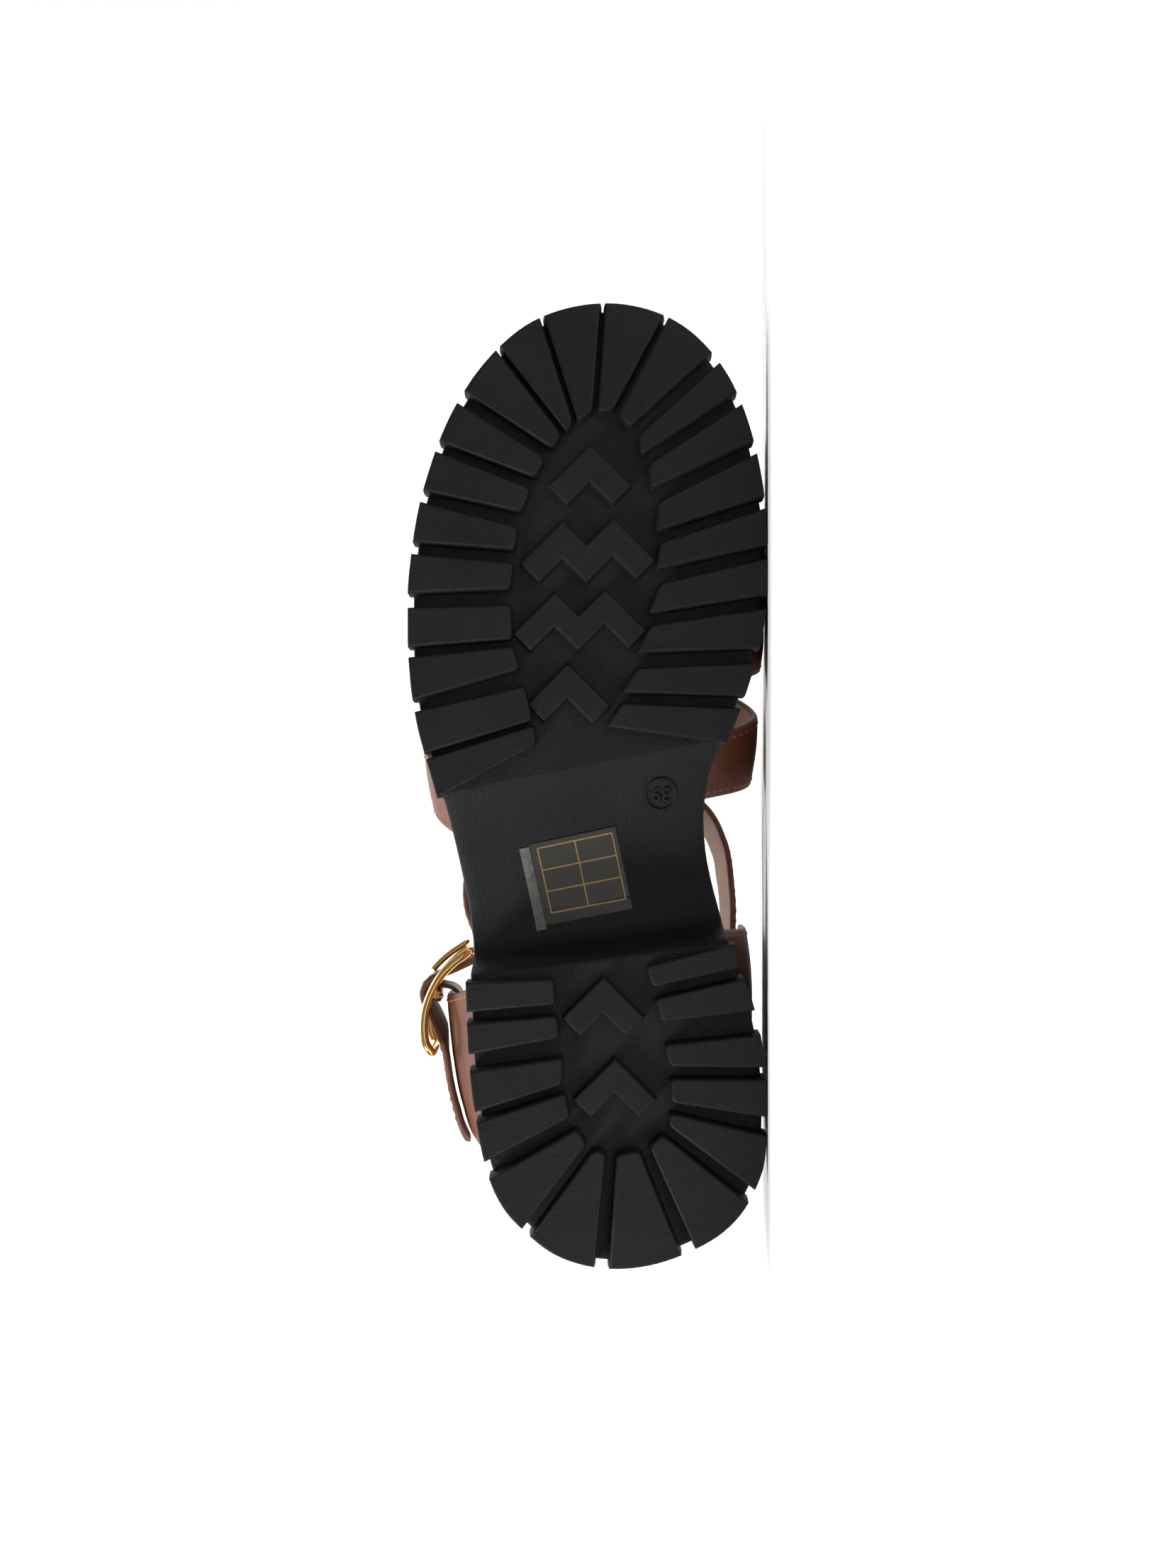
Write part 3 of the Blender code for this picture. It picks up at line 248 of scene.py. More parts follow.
def resample(dense, count):
    lengths = [0.0]
    for a, b in zip(dense, dense[1:]):
        lengths.append(lengths[-1] + (b - a).length)
    out = []
    k = 0
    for i in range(count):
        s = lengths[-1] * i / (count - 1)
        while k < len(dense) - 2 and lengths[k + 1] < s:
            k += 1
        seg = lengths[k + 1] - lengths[k]
        t = (s - lengths[k]) / seg if seg > 0 else 0.0
        out.append(dense[k].lerp(dense[k + 1], min(1.0, t)))
    return out


def phi_of(x):
    return math.acos(max(-1.0, min(1.0, 1 - 2 * x / LENGTH)))


_phis = [phi_of(r[0]) for r in OUTLINE]
_lateral = pchip(_phis, [r[1] for r in OUTLINE])
_medial = pchip(_phis, [r[2] for r in OUTLINE])
shear = pchip([r[0] for r in SHEAR], [r[1] for r in SHEAR])
under = pchip([r[0] for r in UNDER], [r[1] for r in UNDER])
top = pchip([r[0] for r in TOP], [r[1] for r in TOP])


def spring(x):
    t = max(0.0, x - SPRING_START) / (LENGTH - SPRING_START)
    return TOE_SPRING * t * t


def edge(side, x, inset=0.0):
    """Point of the sole outline; side is +1 medial, -1 lateral."""
    f = _medial if side > 0 else _lateral
    p = phi_of(x)

    def at(q):
        q = max(0.0, min(math.pi, q))
        return Vector((LENGTH / 2 * (1 - math.cos(q)), side * f(q), 0))
    here = at(p)
    if inset == 0.0:
        return here
    e = 0.012
    tangent = at(p + e) - at(p - e)
    if p < 1e-6 or p > math.pi - 1e-6:
        tangent = Vector((0, side if p < 1 else -side, 0))
    tangent.normalize()
    normal = Vector((tangent.y, -tangent.x, 0)) * side
    if p < 1e-6:
        normal = Vector((1, 0, 0))
    elif p > math.pi - 1e-6:
        normal = Vector((-1, 0, 0))
    return here + normal * inset


def stations(low, high, fine):
    """Cross lines of the sole, closer together at its ends and at its steps."""
    marks = [85.4, 86.2, 88.6, 90.4, 94.0, 136.2, 137.6, 139.0]
    n = fine
    xs = []
    for i in range(n + 1):
        x = LENGTH / 2 * (1 - math.cos(math.pi * i / n))
        if all(abs(x - m) > 2.2 for m in marks):
            xs.append(x)
    return sorted(xs + marks)


def cross_line(station, inset):
    """Lateral and medial ends of one sheared cross line."""
    k = shear(station)
    return edge(-1, station - k, inset), edge(1, station + k, inset)


def new_object(name, mesh, colour, rough, metal, parent, coll):
    ob = bpy.data.objects.new(name, mesh)
    coll.objects.link(ob)
    mat = bpy.data.materials.new(name + "_material")
    mat.use_nodes = True
    bsdf = mat.node_tree.nodes["Principled BSDF"]
    bsdf.inputs["Base Color"].default_value = (*colour, 1)
    bsdf.inputs["Roughness"].default_value = rough
    bsdf.inputs["Metallic"].default_value = metal
    mesh.materials.append(mat)
    ob.parent = parent
    return ob


def mesh_from(name, verts, faces):
    mesh = bpy.data.meshes.new(name)
    bm = bmesh.new()
    vs = [bm.verts.new(Vector(v) * MM) for v in verts]
    for f in faces:
        loop = []
        for i in f:
            if not loop or vs[i] is not loop[-1]:
                loop.append(vs[i])
        if loop[0] is loop[-1]:
            loop.pop()
        if len(loop) > 2:
            bm.faces.new(loop)
    bmesh.ops.remove_doubles(bm, verts=bm.verts, dist=0.00001)
    bmesh.ops.recalc_face_normals(bm, faces=bm.faces)
    bm.to_mesh(mesh)
    bm.free()
    return mesh


def plate(name, insets, bottom, upper, fine, columns):
    """A slab over the sole outline: rings of (inset, height function)."""
    xs = stations(0, LENGTH, fine)
    verts, index = [], {}

    def add(key, p):
        if key not in index:
            index[key] = len(verts)
            verts.append(p)
        return index[key]

    n = len(xs) - 1

    def grid(ring, inset, height):
        for i, s in enumerate(xs):
            a, b = cross_line(s, inset)
            for j in range(columns + 1):
                t = j / columns
                p = a.lerp(b, t)
                p.z = height(s, p.x)
                jj = 0 if i in (0, n) else j
                add((ring, i, jj), p)

    def ref(ring, i, j):
        return index[(ring, i, 0 if i in (0, n) else j)]

    rings = len(insets)
    for r, (inset, height) in enumerate(insets):
        grid(r, inset, height)
    faces = []
    for i in range(n):
        for j in range(columns):
            faces.append([ref(0, i, j), ref(0, i + 1, j), ref(0, i + 1, j + 1), ref(0, i, j + 1)])
            faces.append([ref(rings - 1, i, j), ref(rings - 1, i, j + 1),
                          ref(rings - 1, i + 1, j + 1), ref(rings - 1, i + 1, j)])
        for r in range(rings - 1):
            for j in (0, columns):
                faces.append([ref(r, i, j), ref(r, i + 1, j), ref(r + 1, i + 1, j), ref(r + 1, i, j)])
    used = sorted({i for f in faces for i in f})
    remap = {o: k for k, o in enumerate(used)}
    return mesh_from(name, [verts[i] for i in used], [[remap[i] for i in f] for f in faces])


def outline_loop(count):
    """Closed loop of the outline, lateral side heel to toe, then back."""
    left = [edge(-1, LENGTH / 2 * (1 - math.cos(math.pi * i / count))) for i in range(count + 1)]
    right = [edge(1, LENGTH / 2 * (1 - math.cos(math.pi * i / count))) for i in range(count, 0, -1)]
    return left + right


LOOP = outline_loop(360)
LOOP_N = len(LOOP)


def hit(origin, direction):
    """Where a ray leaves the outline: loop place as index plus fraction."""
    best = None
    for i in range(LOOP_N):
        a, b = LOOP[i], LOOP[(i + 1) % LOOP_N]
        e = b - a
        det = direction.x * (-e.y) + direction.y * e.x
        if abs(det) < 1e-12:
            continue
        w = a - origin
        t = (w.x * (-e.y) + w.y * e.x) / det
        u = (direction.x * w.y - direction.y * w.x) / det
        if t > 0 and -1e-9 <= u <= 1 + 1e-9 and (best is None or t < best[0]):
            best = (t, i + u)
    return best[1]


def loop_point(place):
    i = int(math.floor(place))
    return LOOP[i % LOOP_N].lerp(LOOP[(i + 1) % LOOP_N], place - i)


def loop_normal(place):
    t = loop_point(place + 0.5) - loop_point(place - 0.5)
    t.normalize()
    n = Vector((t.y, -t.x, 0))
    inside = Vector((130, 0, 0)) - loop_point(place)
    centre = loop_point(place)
    inside = Vector((min(max(centre.x, 40), 225), 4, 0)) - centre
    return n if n.dot(inside) > 0 else -n


def groove_sides(row):
    ox, ov, ow, ix, iv, iw = row
    o, i = Vector((ox, -ov, 0)), Vector((ix, -iv, 0))
    d = (o - i).normalized()
    n = Vector((-d.y, d.x, 0))
    return o, i, n, ow / 2, iw / 2


def lug_shapes(table, step):
    """One outline per lug: inner ends, outer points and their inward normals."""
    shapes = []
    for a, b in zip(table, table[1:]):
        oa, ia, na, woa, wia = groove_sides(a)
        ob_, ib, nb, wob, wib = groove_sides(b)
        if na.dot(ob_ - oa) < 0:
            na = -na
        if nb.dot(oa - ob_) < 0:
            nb = -nb
        a_in, a_out = ia + na * wia, oa + na * woa
        b_in, b_out = ib + nb * wib, ob_ + nb * wob
        pa = hit(a_in, (a_out - a_in).normalized())
        pb = hit(b_in, (b_out - b_in).normalized())
        if abs(pb - pa) > LOOP_N / 2:
            if pa < pb:
                pa += LOOP_N
            else:
                pb += LOOP_N
        span = (loop_point(pa) - loop_point(pb)).length
        n = max(1, round(span / step))
        outer = [pa + (pb - pa) * k / n for k in range(n + 1)]
        shapes.append((a_in, b_in, [(loop_point(p), loop_normal(p)) for p in outer]))
    return shapes


def lug_block(shape):
    """Vertices and faces of one lug, from the tread up into the sole body."""
    a_in, b_in, outer = shape
    ring0, ring1, ring2 = [], [], []
    for p, n in outer:
        z = spring(p.x)
        ring0.append((p.x, p.y, z))
        ring1.append((p.x, p.y, z + LUG_WRAP))
        q = p + n * (WALL_INSET + 0.8)
        ring2.append((q.x, q.y, z + LUG_WRAP + 2.0))
    for p in (b_in, a_in):
        z = spring(p.x)
        ring0.append((p.x, p.y, z))
        ring1.append((p.x, p.y, z + LUG_WRAP))
        ring2.append((p.x, p.y, z + LUG_WRAP + 2.0))
    n = len(ring0)
    verts = ring0 + ring1 + ring2
    faces = [list(range(n)), list(range(3 * n - 1, 2 * n - 1, -1))]
    for k in range(n):
        j = (k + 1) % n
        faces.append([k, j, n + j, n + k])
        faces.append([n + k, n + j, 2 * n + j, 2 * n + k])
    return verts, faces


def chevron_outline(row):
    """A zigzag bar of arms at 45 degrees, one peak or two."""
    px, pv, arm_l, arm_m, width, peaks = row
    c = math.sqrt(0.5)
    back_l = Vector((-c, -c, 0))    # from a peak towards heel and lateral side
    back_m = Vector((-c, c, 0))
    peak = Vector((px, -pv, 0))
    side = width
    inner_drop = Vector((-side * math.sqrt(2), 0, 0))
    if peaks == 1:
        l_end = peak + back_l * arm_l
        m_end = peak + back_m * arm_m
        return [l_end, peak, m_end, m_end + back_l * side, peak + inner_drop, l_end + back_m * side]
    l_end = peak + back_l * arm_l
    valley = peak + back_m * arm_m
    peak2 = valley - back_l * arm_m * 1.12
    m_end = peak2 + back_m * arm_l
    return [l_end, peak, valley, peak2, m_end, m_end + back_l * side,
            peak2 + inner_drop, valley + inner_drop, peak + inner_drop, l_end + back_m * side]


def prism(points, z0, z1):
    n = len(points)
    verts = [(p.x, p.y, z0 + spring(p.x)) for p in points] + [(p.x, p.y, z1 + spring(p.x)) for p in points]
    faces = [list(range(n)), list(range(2 * n - 1, n - 1, -1))]
    for k in range(n):
        j = (k + 1) % n
        faces.append([k, j, n + j, n + k])
    return verts, faces


_lx = [r[0] for r in LAST]
_last = [pchip(_lx, [r[k] for r in LAST]) for k in range(1, 7)]


def last_section(x):
    """Half sections of the upper's mid wall at x: medial and lateral."""
    ym, zm, yl, zl, yc, zc = [f(x) for f in _last]
    halves = []
    for side, yb, zb in ((1, ym, zm), (-1, yl, zl)):
        base = edge(side, x, BASE_INSET)
        slope = (edge(side, x + 1).y - edge(side, x - 1).y) / 2
        y0 = side * edge(side, x).y - BASE_INSET * math.sqrt(1 + slope * slope)
        z0 = top(x) + STRAP_LIFT
        crown = side * yc
        pts = []
        for k in range(17):
            t = k / 16
            pts.append(Vector((x, side * (y0 + (yb - y0) * math.sin(math.pi / 2 * t) ** 2), z0 + (zb - z0) * t)))
        for k in range(1, 29):
            a = math.pi / 2 * k / 28
            pts.append(Vector((x, side * (crown + (yb - crown) * math.cos(a) ** 0.92),
                               zb + (zc - zb) * math.sin(a) ** 0.92)))
        halves.append(pts)
    return halves


def last_point(x, s):
    medial, lateral = last_section(x)
    pts = medial if s <= 0.5 else lateral
    share = s * 2 if s <= 0.5 else (1 - s) * 2
    lengths = [0.0]
    for a, b in zip(pts, pts[1:]):
        lengths.append(lengths[-1] + (b - a).length)
    want = lengths[-1] * share
    for k in range(len(pts) - 1):
        if lengths[k + 1] >= want - 1e-9:
            seg = lengths[k + 1] - lengths[k]
            t = (want - lengths[k]) / seg if seg else 0
            return pts[k].lerp(pts[k + 1], t)
    return pts[-1]


def strap_surface(table, along, across):
    """Grid of points of a strap's mid wall on the last."""
    ss = [r[0] for r in table]
    rear = pchip(ss, [r[1] for r in table])
    front = pchip(ss, [r[2] for r in table])
    rows = []
    for i in range(along + 1):
        s = i / along
        rows.append([last_point(rear(s) + (front(s) - rear(s)) * j / across, s) for j in range(across + 1)])
    return rows


def sheet(name, rows):
    """Open mesh over a grid of points."""
    m = len(rows[0])
    verts = [p for row in rows for p in row]
    faces = []
    for i in range(len(rows) - 1):
        for j in range(m - 1):
            faces.append([i * m + j, (i + 1) * m + j, (i + 1) * m + j + 1, i * m + j + 1])
    return mesh_from(name, verts, faces)


def thicken(ob, wall):
    mod = ob.modifiers.new("wall", "SOLIDIFY")
    mod.thickness = wall * MM
    mod.offset = 0.0
    mod.use_even_offset = True
    mod.use_quality_normals = True
    return mod


# heel counter
def heel_loop(inset):
    pts = []
    for i in range(61):
        x = COUNTER_FRONT_M * (1 - i / 60)
        pts.append(edge(1, COUNTER_FRONT_M * (1 - math.sin(math.pi / 2 * i / 60)), inset))
    for i in range(1, 61):
        pts.append(edge(-1, COUNTER_FRONT_L * (1 - math.cos(math.pi / 2 * i / 60)), inset))
    return pts


_base = resample(heel_loop(BASE_INSET), 241)
_rim_c = [r[3] for r in RIM]
_rim = [pchip(_rim_c, [r[k] for r in RIM]) for k in range(3)]
_rim_dense = spline([(r[0], r[1], r[2]) for r in RIM], 241)


def rim_point(c):
    """Rim by its share of the loop, through the table's rows."""
    k = 0
    while k < len(RIM) - 2 and c > RIM[k + 1][3]:
        k += 1
    t = (c - RIM[k][3]) / (RIM[k + 1][3] - RIM[k][3])
    p = [Vector(RIM[max(0, min(len(RIM) - 1, k + d))][:3]) for d in (-1, 0, 1, 2)]
    if k == 0:
        p[0] = p[1] * 2 - p[2]
    if k + 2 > len(RIM) - 1:
        p[3] = p[2] * 2 - p[1]
    return 0.5 * ((2 * p[1]) + (p[2] - p[0]) * t + (2 * p[0] - 5 * p[1] + 4 * p[2] - p[3]) * t * t
                  + (3 * p[1] - p[0] - 3 * p[2] + p[3]) * t ** 3)


def counter_point(c, h):
    """Mid wall of the counter: c along the loop, h from sole (0) to rim (1)."""
    f = c * 240
    k = min(239, int(f))
    base = _base[k].lerp(_base[k + 1], f - k)
    base.z = top(base.x) + STRAP_LIFT
    rim = rim_point(c)
    flare = math.sin(math.pi / 2 * min(1.0, h * 1.15)) ** 1.25
    p = base.lerp(rim, flare)
    p.z = base.z + (rim.z - base.z) * h
    # the closed heel swells a little behind and comes in again at the rim
    back = math.exp(-((c - 0.55) / 0.2) ** 2)
    out = Vector((rim.x - 55, rim.y - 4, 0)).normalized()
    p += out * back * (2.6 * math.sin(math.pi * h) - 0.0)
    return p


def counter_at(c, z):
    lo, hi = 0.0, 1.0
    for _ in range(30):
        mid = (lo + hi) / 2
        if counter_point(c, mid).z < z:
            lo = mid
        else:
            hi = mid
    return counter_point(c, (lo + hi) / 2)


def counter_normal(c, z):
    dc = 0.004
    a, b = counter_at(min(1, c + dc), z), counter_at(max(0, c - dc), z)
    u, v = counter_at(c, z + 3), counter_at(c, z - 3)
    n = (a - b).cross(u - v).normalized()
    out = Vector((a.x - 50, a.y - 4, 0))
    return n if n.dot(out) > 0 else -n


def counter_share(x, side, z):
    """Share of the loop where the counter has this x on the given side."""
    lo, hi = (0.0, 0.5) if side > 0 else (1.0, 0.6)
    for _ in range(40):
        mid = (lo + hi) / 2
        if counter_at(mid, z).x > x:
            lo = mid
        else:
            hi = mid
    return (lo + hi) / 2


def ankle_rows(coarse, fine):
    """Centre line points of the ankle strap and the direction of its width."""
    rows = []
    n = 5
    for i in range(n):
        x = ANCHOR_END + (77.0 - ANCHOR_END) * i / (n - 1)
        c = counter_share(x, 1, STRAP_HEIGHT_M)
        p = counter_at(c, STRAP_HEIGHT_M) - counter_normal(c, STRAP_HEIGHT_M) * STRAP_OFFSET
        w = (counter_at(c, STRAP_HEIGHT_M + 8) - counter_at(c, STRAP_HEIGHT_M - 8)).normalized()
        rows.append((p, w))
    centre = Vector((72, 2, 0))
    for x, y, z, lean in ANKLE_FREE:
        p = Vector((x, y, z))
        inward = centre - Vector((x, y, 0))
        inward.normalize()
        a = math.radians(lean)
        rows.append((p, Vector((0, 0, 1)) * math.cos(a) + inward * math.sin(a)))
    n = 7
    for i in range(n):
        x = 47.5 + (TAIL_END - 47.5) * i / (n - 1)
        c = counter_share(x, -1, STRAP_HEIGHT_L)
        p = counter_at(c, STRAP_HEIGHT_L) + counter_normal(c, STRAP_HEIGHT_L) * STRAP_OFFSET
        w = (counter_at(c, STRAP_HEIGHT_L + 8) - counter_at(c, STRAP_HEIGHT_L - 8)).normalized()
        rows.append((p, w))
    # widths by nearest place along one dense spline
    marks = spline([p for p, w in rows], 1600)
    places = []
    start = 0
    for p, w in rows:
        k = min(range(start, 1600), key=lambda q: (marks[q] - p).length)
        places.append(k)
        start = k
    unit = (marks[1] - marks[0]).length
    picks, run = [0], 0.0
    for k in range(1, 1600):
        run += unit
        m = marks[k]
        near = m.y < -33 and 44 < m.x < 90
        if run >= (fine if near else coarse):
            picks.append(k)
            run = 0.0
    if 1599 - picks[-1] < 4:
        picks[-1] = 1599
    else:
        picks.append(1599)
    out = []
    for i in picks:
        k = 0
        while k < len(places) - 2 and i > places[k + 1]:
            k += 1
        t = (i - places[k]) / max(1, places[k + 1] - places[k])
        w = rows[k][1].lerp(rows[k + 1][1], max(0, min(1, t)))
        tangent = (marks[min(1599, i + 3)] - marks[max(0, i - 3)]).normalized()
        w = (w - tangent * w.dot(tangent)).normalized()
        out.append((marks[i], w, tangent, (1599 - i) * unit))
    return out


def ankle_surface(coarse, fine, across):
    rows = []
    for p, w, t, left in ankle_rows(coarse, fine):
        half = STRAP_WIDTH / 2
        if left < 10.0:                       # the tail narrows to a round tip
            half *= max(0.34, math.sqrt(max(0.0, 1 - ((10.0 - left) / 10.0) ** 2)))
        rows.append([p + w * half * (2 * j / across - 1) for j in range(across + 1)])
    return rows

def buckle_rail(count):
    return spline([(x, y, 0) for x, y in BUCKLE_SIDE], count)


def buckle_loop(along, corner):
    """Closed loop of the frame: two bowed side rails and two end bars."""
    rail = buckle_rail(along)
    pts = []
    h = BUCKLE_HALF
    cut = 3.0
    lower = [Vector((p.x, p.y, BUCKLE_Z - h)) for p in rail]
    upper = [Vector((p.x, p.y, BUCKLE_Z + h)) for p in rail][::-1]
    for run, sign in ((lower, 1), (upper, -1)):
        inner = [p for p in run if (p - run[0]).length > cut and (p - run[-1]).length > cut]
        pts += inner
        end = run[-1]
        a = inner[-1]
        for k in range(1, corner + 1):
            t = k / (corner + 1)
            q = a.lerp(end, 1 - (1 - t) ** 2)
            q.z = end.z + sign * cut * t ** 2
            q.x = a.x + (end.x - a.x) * (1 - (1 - t) ** 2)
            pts.append(q)
        pts.append(Vector((end.x, end.y, end.z + sign * cut)))
        pts.append(Vector((end.x, end.y, BUCKLE_Z)))
        nxt = (upper if sign == 1 else lower)
        start = nxt[0]
        b = [p for p in nxt if (p - nxt[0]).length > cut][0]
        pts.append(Vector((start.x, start.y, start.z - sign * cut)))
        for k in range(1, corner + 1):
            t = 1 - k / (corner + 1)
            q = b.lerp(start, 1 - (1 - t) ** 2)
            q.z = start.z - sign * cut * t ** 2
            pts.append(q)
    return pts


# ------------------------------------------------------------- into the row
def row(points):
    """Standing millimetres to the row's metres."""
    p = np.asarray(points, dtype=float)
    c, s = math.cos(ROLL), math.sin(ROLL)
    out = np.empty_like(p)
    out[..., 0] = p[..., 0] + PLACE[0]
    out[..., 1] = p[..., 1] * s + p[..., 2] * c + PLACE[1]
    out[..., 2] = -p[..., 1] * c + p[..., 2] * s + PLACE[2]
    return out * MM


def piece(name, verts, faces, mats, slots=None, angle=38, stands_for=()):
    """One object from standing points; faces carry a material number each."""
    mesh = bpy.data.meshes.new(name)
    mesh.from_pydata([tuple(v) for v in row(verts)], [], faces)
    for m in mats:
        mesh.materials.append(m)
    if slots is not None:
        mesh.polygons.foreach_set("material_index", list(slots))
    bm = bmesh.new()
    bm.from_mesh(mesh)
    bmesh.ops.recalc_face_normals(bm, faces=bm.faces)
    bm.to_mesh(mesh)
    bm.free()
    mesh.shade_smooth()
    mesh.set_sharp_from_angle(angle=math.radians(angle))
    ob = bpy.data.objects.new(name, mesh)
    bpy.context.scene.collection.objects.link(ob)
    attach(ob, "root")
    if stands_for:
        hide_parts(*stands_for)
    return ob


class Bag:
    """Vertices, faces and material numbers that become one object."""

    def __init__(self):
        self.v, self.f, self.m = [], [], []

    def add(self, verts, faces, mat=0):
        base = len(self.v)
        self.v += [tuple(p) for p in verts]
        self.f += [[i + base for i in f] for f in faces]
        self.m += [mat] * len(faces) if isinstance(mat, int) else list(mat)


# ----------------------------------------------------------------- materials
def node(tree, kind, **values):
    n = tree.nodes.new(kind)
    for key, value in values.items():
        setattr(n, key, value)
    return n


def surface(name, dark, light, rough, metal=0.0, specular=0.5, mottle=60.0,
            grain=None, coat=0.0, coat_rough=0.3, sheen=0.0, rough_spread=0.08):
    """A mottled surface; grain is a list of (kind, scale, height in mm, detail)."""
    m = bpy.data.materials.new(name)
    m.use_nodes = True
    t = m.node_tree
    b = t.nodes["Principled BSDF"]
    place = node(t, "ShaderNodeTexCoord")
    cloud = node(t, "ShaderNodeTexNoise")
    cloud.inputs["Scale"].default_value = mottle
    cloud.inputs["Detail"].default_value = 5.0
    cloud.inputs["Roughness"].default_value = 0.6
    t.links.new(place.outputs["Object"], cloud.inputs["Vector"])
    ramp = node(t, "ShaderNodeMapRange")
    ramp.inputs["From Min"].default_value = 0.3
    ramp.inputs["From Max"].default_value = 0.7
    t.links.new(cloud.outputs["Fac"], ramp.inputs["Value"])
    mix = node(t, "ShaderNodeMix", data_type="RGBA")
    mix.inputs["A"].default_value = (*dark, 1)
    mix.inputs["B"].default_value = (*light, 1)
    t.links.new(ramp.outputs["Result"], mix.inputs["Factor"])
    t.links.new(mix.outputs["Result"], b.inputs["Base Color"])
    spread = node(t, "ShaderNodeMapRange")
    spread.inputs["To Min"].default_value = rough - rough_spread
    spread.inputs["To Max"].default_value = rough + rough_spread
    t.links.new(cloud.outputs["Fac"], spread.inputs["Value"])
    t.links.new(spread.outputs["Result"], b.inputs["Roughness"])
    b.inputs["Metallic"].default_value = metal
    b.inputs["Specular IOR Level"].default_value = specular
    b.inputs["Coat Weight"].default_value = coat
    b.inputs["Coat Roughness"].default_value = coat_rough
    b.inputs["Sheen Weight"].default_value = sheen
    last = None
    for kind, scale, height, detail in grain or []:
        if kind == "cells":
            g = node(t, "ShaderNodeTexVoronoi", feature="DISTANCE_TO_EDGE")
            g.inputs["Scale"].default_value = scale
            lift = node(t, "ShaderNodeMapRange")
            lift.inputs["From Max"].default_value = 0.22
            t.links.new(g.outputs["Distance"], lift.inputs["Value"])
            value = lift.outputs["Result"]
        elif kind == "pebble":
            g = node(t, "ShaderNodeTexVoronoi", feature="SMOOTH_F1")
            g.inputs["Scale"].default_value = scale
            g.inputs["Smoothness"].default_value = 0.6
            value = g.outputs["Distance"]
        else:
            g = node(t, "ShaderNodeTexNoise")
            g.inputs["Scale"].default_value = scale
            g.inputs["Detail"].default_value = detail
            g.inputs["Roughness"].default_value = 0.6
            value = g.outputs["Fac"]
        t.links.new(place.outputs["Object"], g.inputs["Vector"])
        bump = node(t, "ShaderNodeBump")
        bump.inputs["Strength"].default_value = 1.0
        bump.inputs["Distance"].default_value = height * MM
        t.links.new(value, bump.inputs["Height"])
        if last is not None:
            t.links.new(last.outputs["Normal"], bump.inputs["Normal"])
        last = bump
    if last is not None:
        t.links.new(last.outputs["Normal"], b.inputs["Normal"])
    return m


rubber = surface("rubber", (0.0058, 0.0058, 0.0068), (0.0092, 0.0092, 0.0106), 0.56, specular=0.17, mottle=45,
                 grain=[("noise", 1500, 0.10, 3.0), ("pebble", 900, 0.10, 0)], rough_spread=0.07)
rubber_side = surface("rubber_side", (0.0068, 0.0068, 0.0078), (0.0098, 0.0098, 0.011), 0.55, specular=0.18, mottle=30,
                      grain=[("noise", 1200, 0.07, 2.0)])
leather = surface("leather", (0.105, 0.030, 0.012), (0.160, 0.048, 0.020), 0.47, specular=0.32, mottle=70,
                  grain=[("cells", 1500, 0.055, 0), ("noise", 420, 0.10, 4.0)], coat=0.06, coat_rough=0.35)
lining = surface("lining", (0.22, 0.125, 0.085), (0.28, 0.17, 0.118), 0.72, specular=0.3, mottle=120,
                 grain=[("noise", 2200, 0.05, 3.0)], sheen=0.08)
cut_edge = surface("cut_edge", (0.085, 0.032, 0.017), (0.14, 0.055, 0.03), 0.5, specular=0.4, mottle=200,
                   grain=[("noise", 1600, 0.04, 2.0)])
sock = surface("sock", (0.34, 0.19, 0.12), (0.43, 0.255, 0.17), 0.62, specular=0.32, mottle=60,
               grain=[("cells", 1300, 0.04, 0), ("noise", 300, 0.08, 3.0)])
thread = surface("thread", (0.30, 0.125, 0.065), (0.40, 0.18, 0.10), 0.6, specular=0.3, mottle=900)
gold = surface("gold", (0.86, 0.50, 0.16), (0.93, 0.60, 0.23), 0.20, metal=1.0, mottle=140, rough_spread=0.05)
# near-black colour of painted shade, laid on the discs inside the strap's punched holes
hole_painted_shade = surface("hole_painted_shade", (0.02, 0.008, 0.005), (0.03, 0.012, 0.008), 0.8, specular=0.1)
film = surface("label_film", (0.010, 0.0095, 0.007), (0.018, 0.017, 0.011), 0.30, specular=0.3, mottle=300,
               rough_spread=0.1, coat=0.12, coat_rough=0.12)
film_haze = surface("film_haze", (0.030, 0.030, 0.032), (0.12, 0.12, 0.115), 0.42, specular=0.5, mottle=260,
                    rough_spread=0.12)
ink = surface("label_ink", (0.20, 0.125, 0.035), (0.30, 0.19, 0.06), 0.35, metal=0.55, mottle=700)


# --------------------------------------------------------------- fine shells
def border_steps(length, count, r):
    """Places along a length, drawn together where the edge is rounded."""
    near = [0.0, 0.035 * r, 0.14 * r, 0.34 * r, 0.65 * r, r]
    inner = [r + (length - 2 * r) * k / count for k in range(1, count)]
    return near + inner + [length - d for d in reversed(near)]


def arc(P, axis):
    seg = np.linalg.norm(np.diff(P, axis=axis), axis=2)
    zero = np.zeros((1, P.shape[1])) if axis == 0 else np.zeros((P.shape[0], 1))
    return np.concatenate([zero, np.cumsum(seg, axis=axis)], axis=axis)


def normals(P, centre):
    du, dv = np.gradient(P, axis=0), np.gradient(P, axis=1)
    N = np.cross(du, dv)
    size = np.linalg.norm(N, axis=2, keepdims=True)
    N = N / np.maximum(size, 1e-12)
    # a thin end can lose its normal; take the neighbour's
    bad = size[..., 0] < 1e-9
    for i in range(P.shape[0]):
        for j in range(P.shape[1]):
            if bad[i, j]:
                N[i, j] = N[min(max(i, 1), P.shape[0] - 2), min(max(j, 1), P.shape[1] - 2)]
    if np.sum(N * (P - np.asarray(centre))) < 0:
        N = -N
    return N


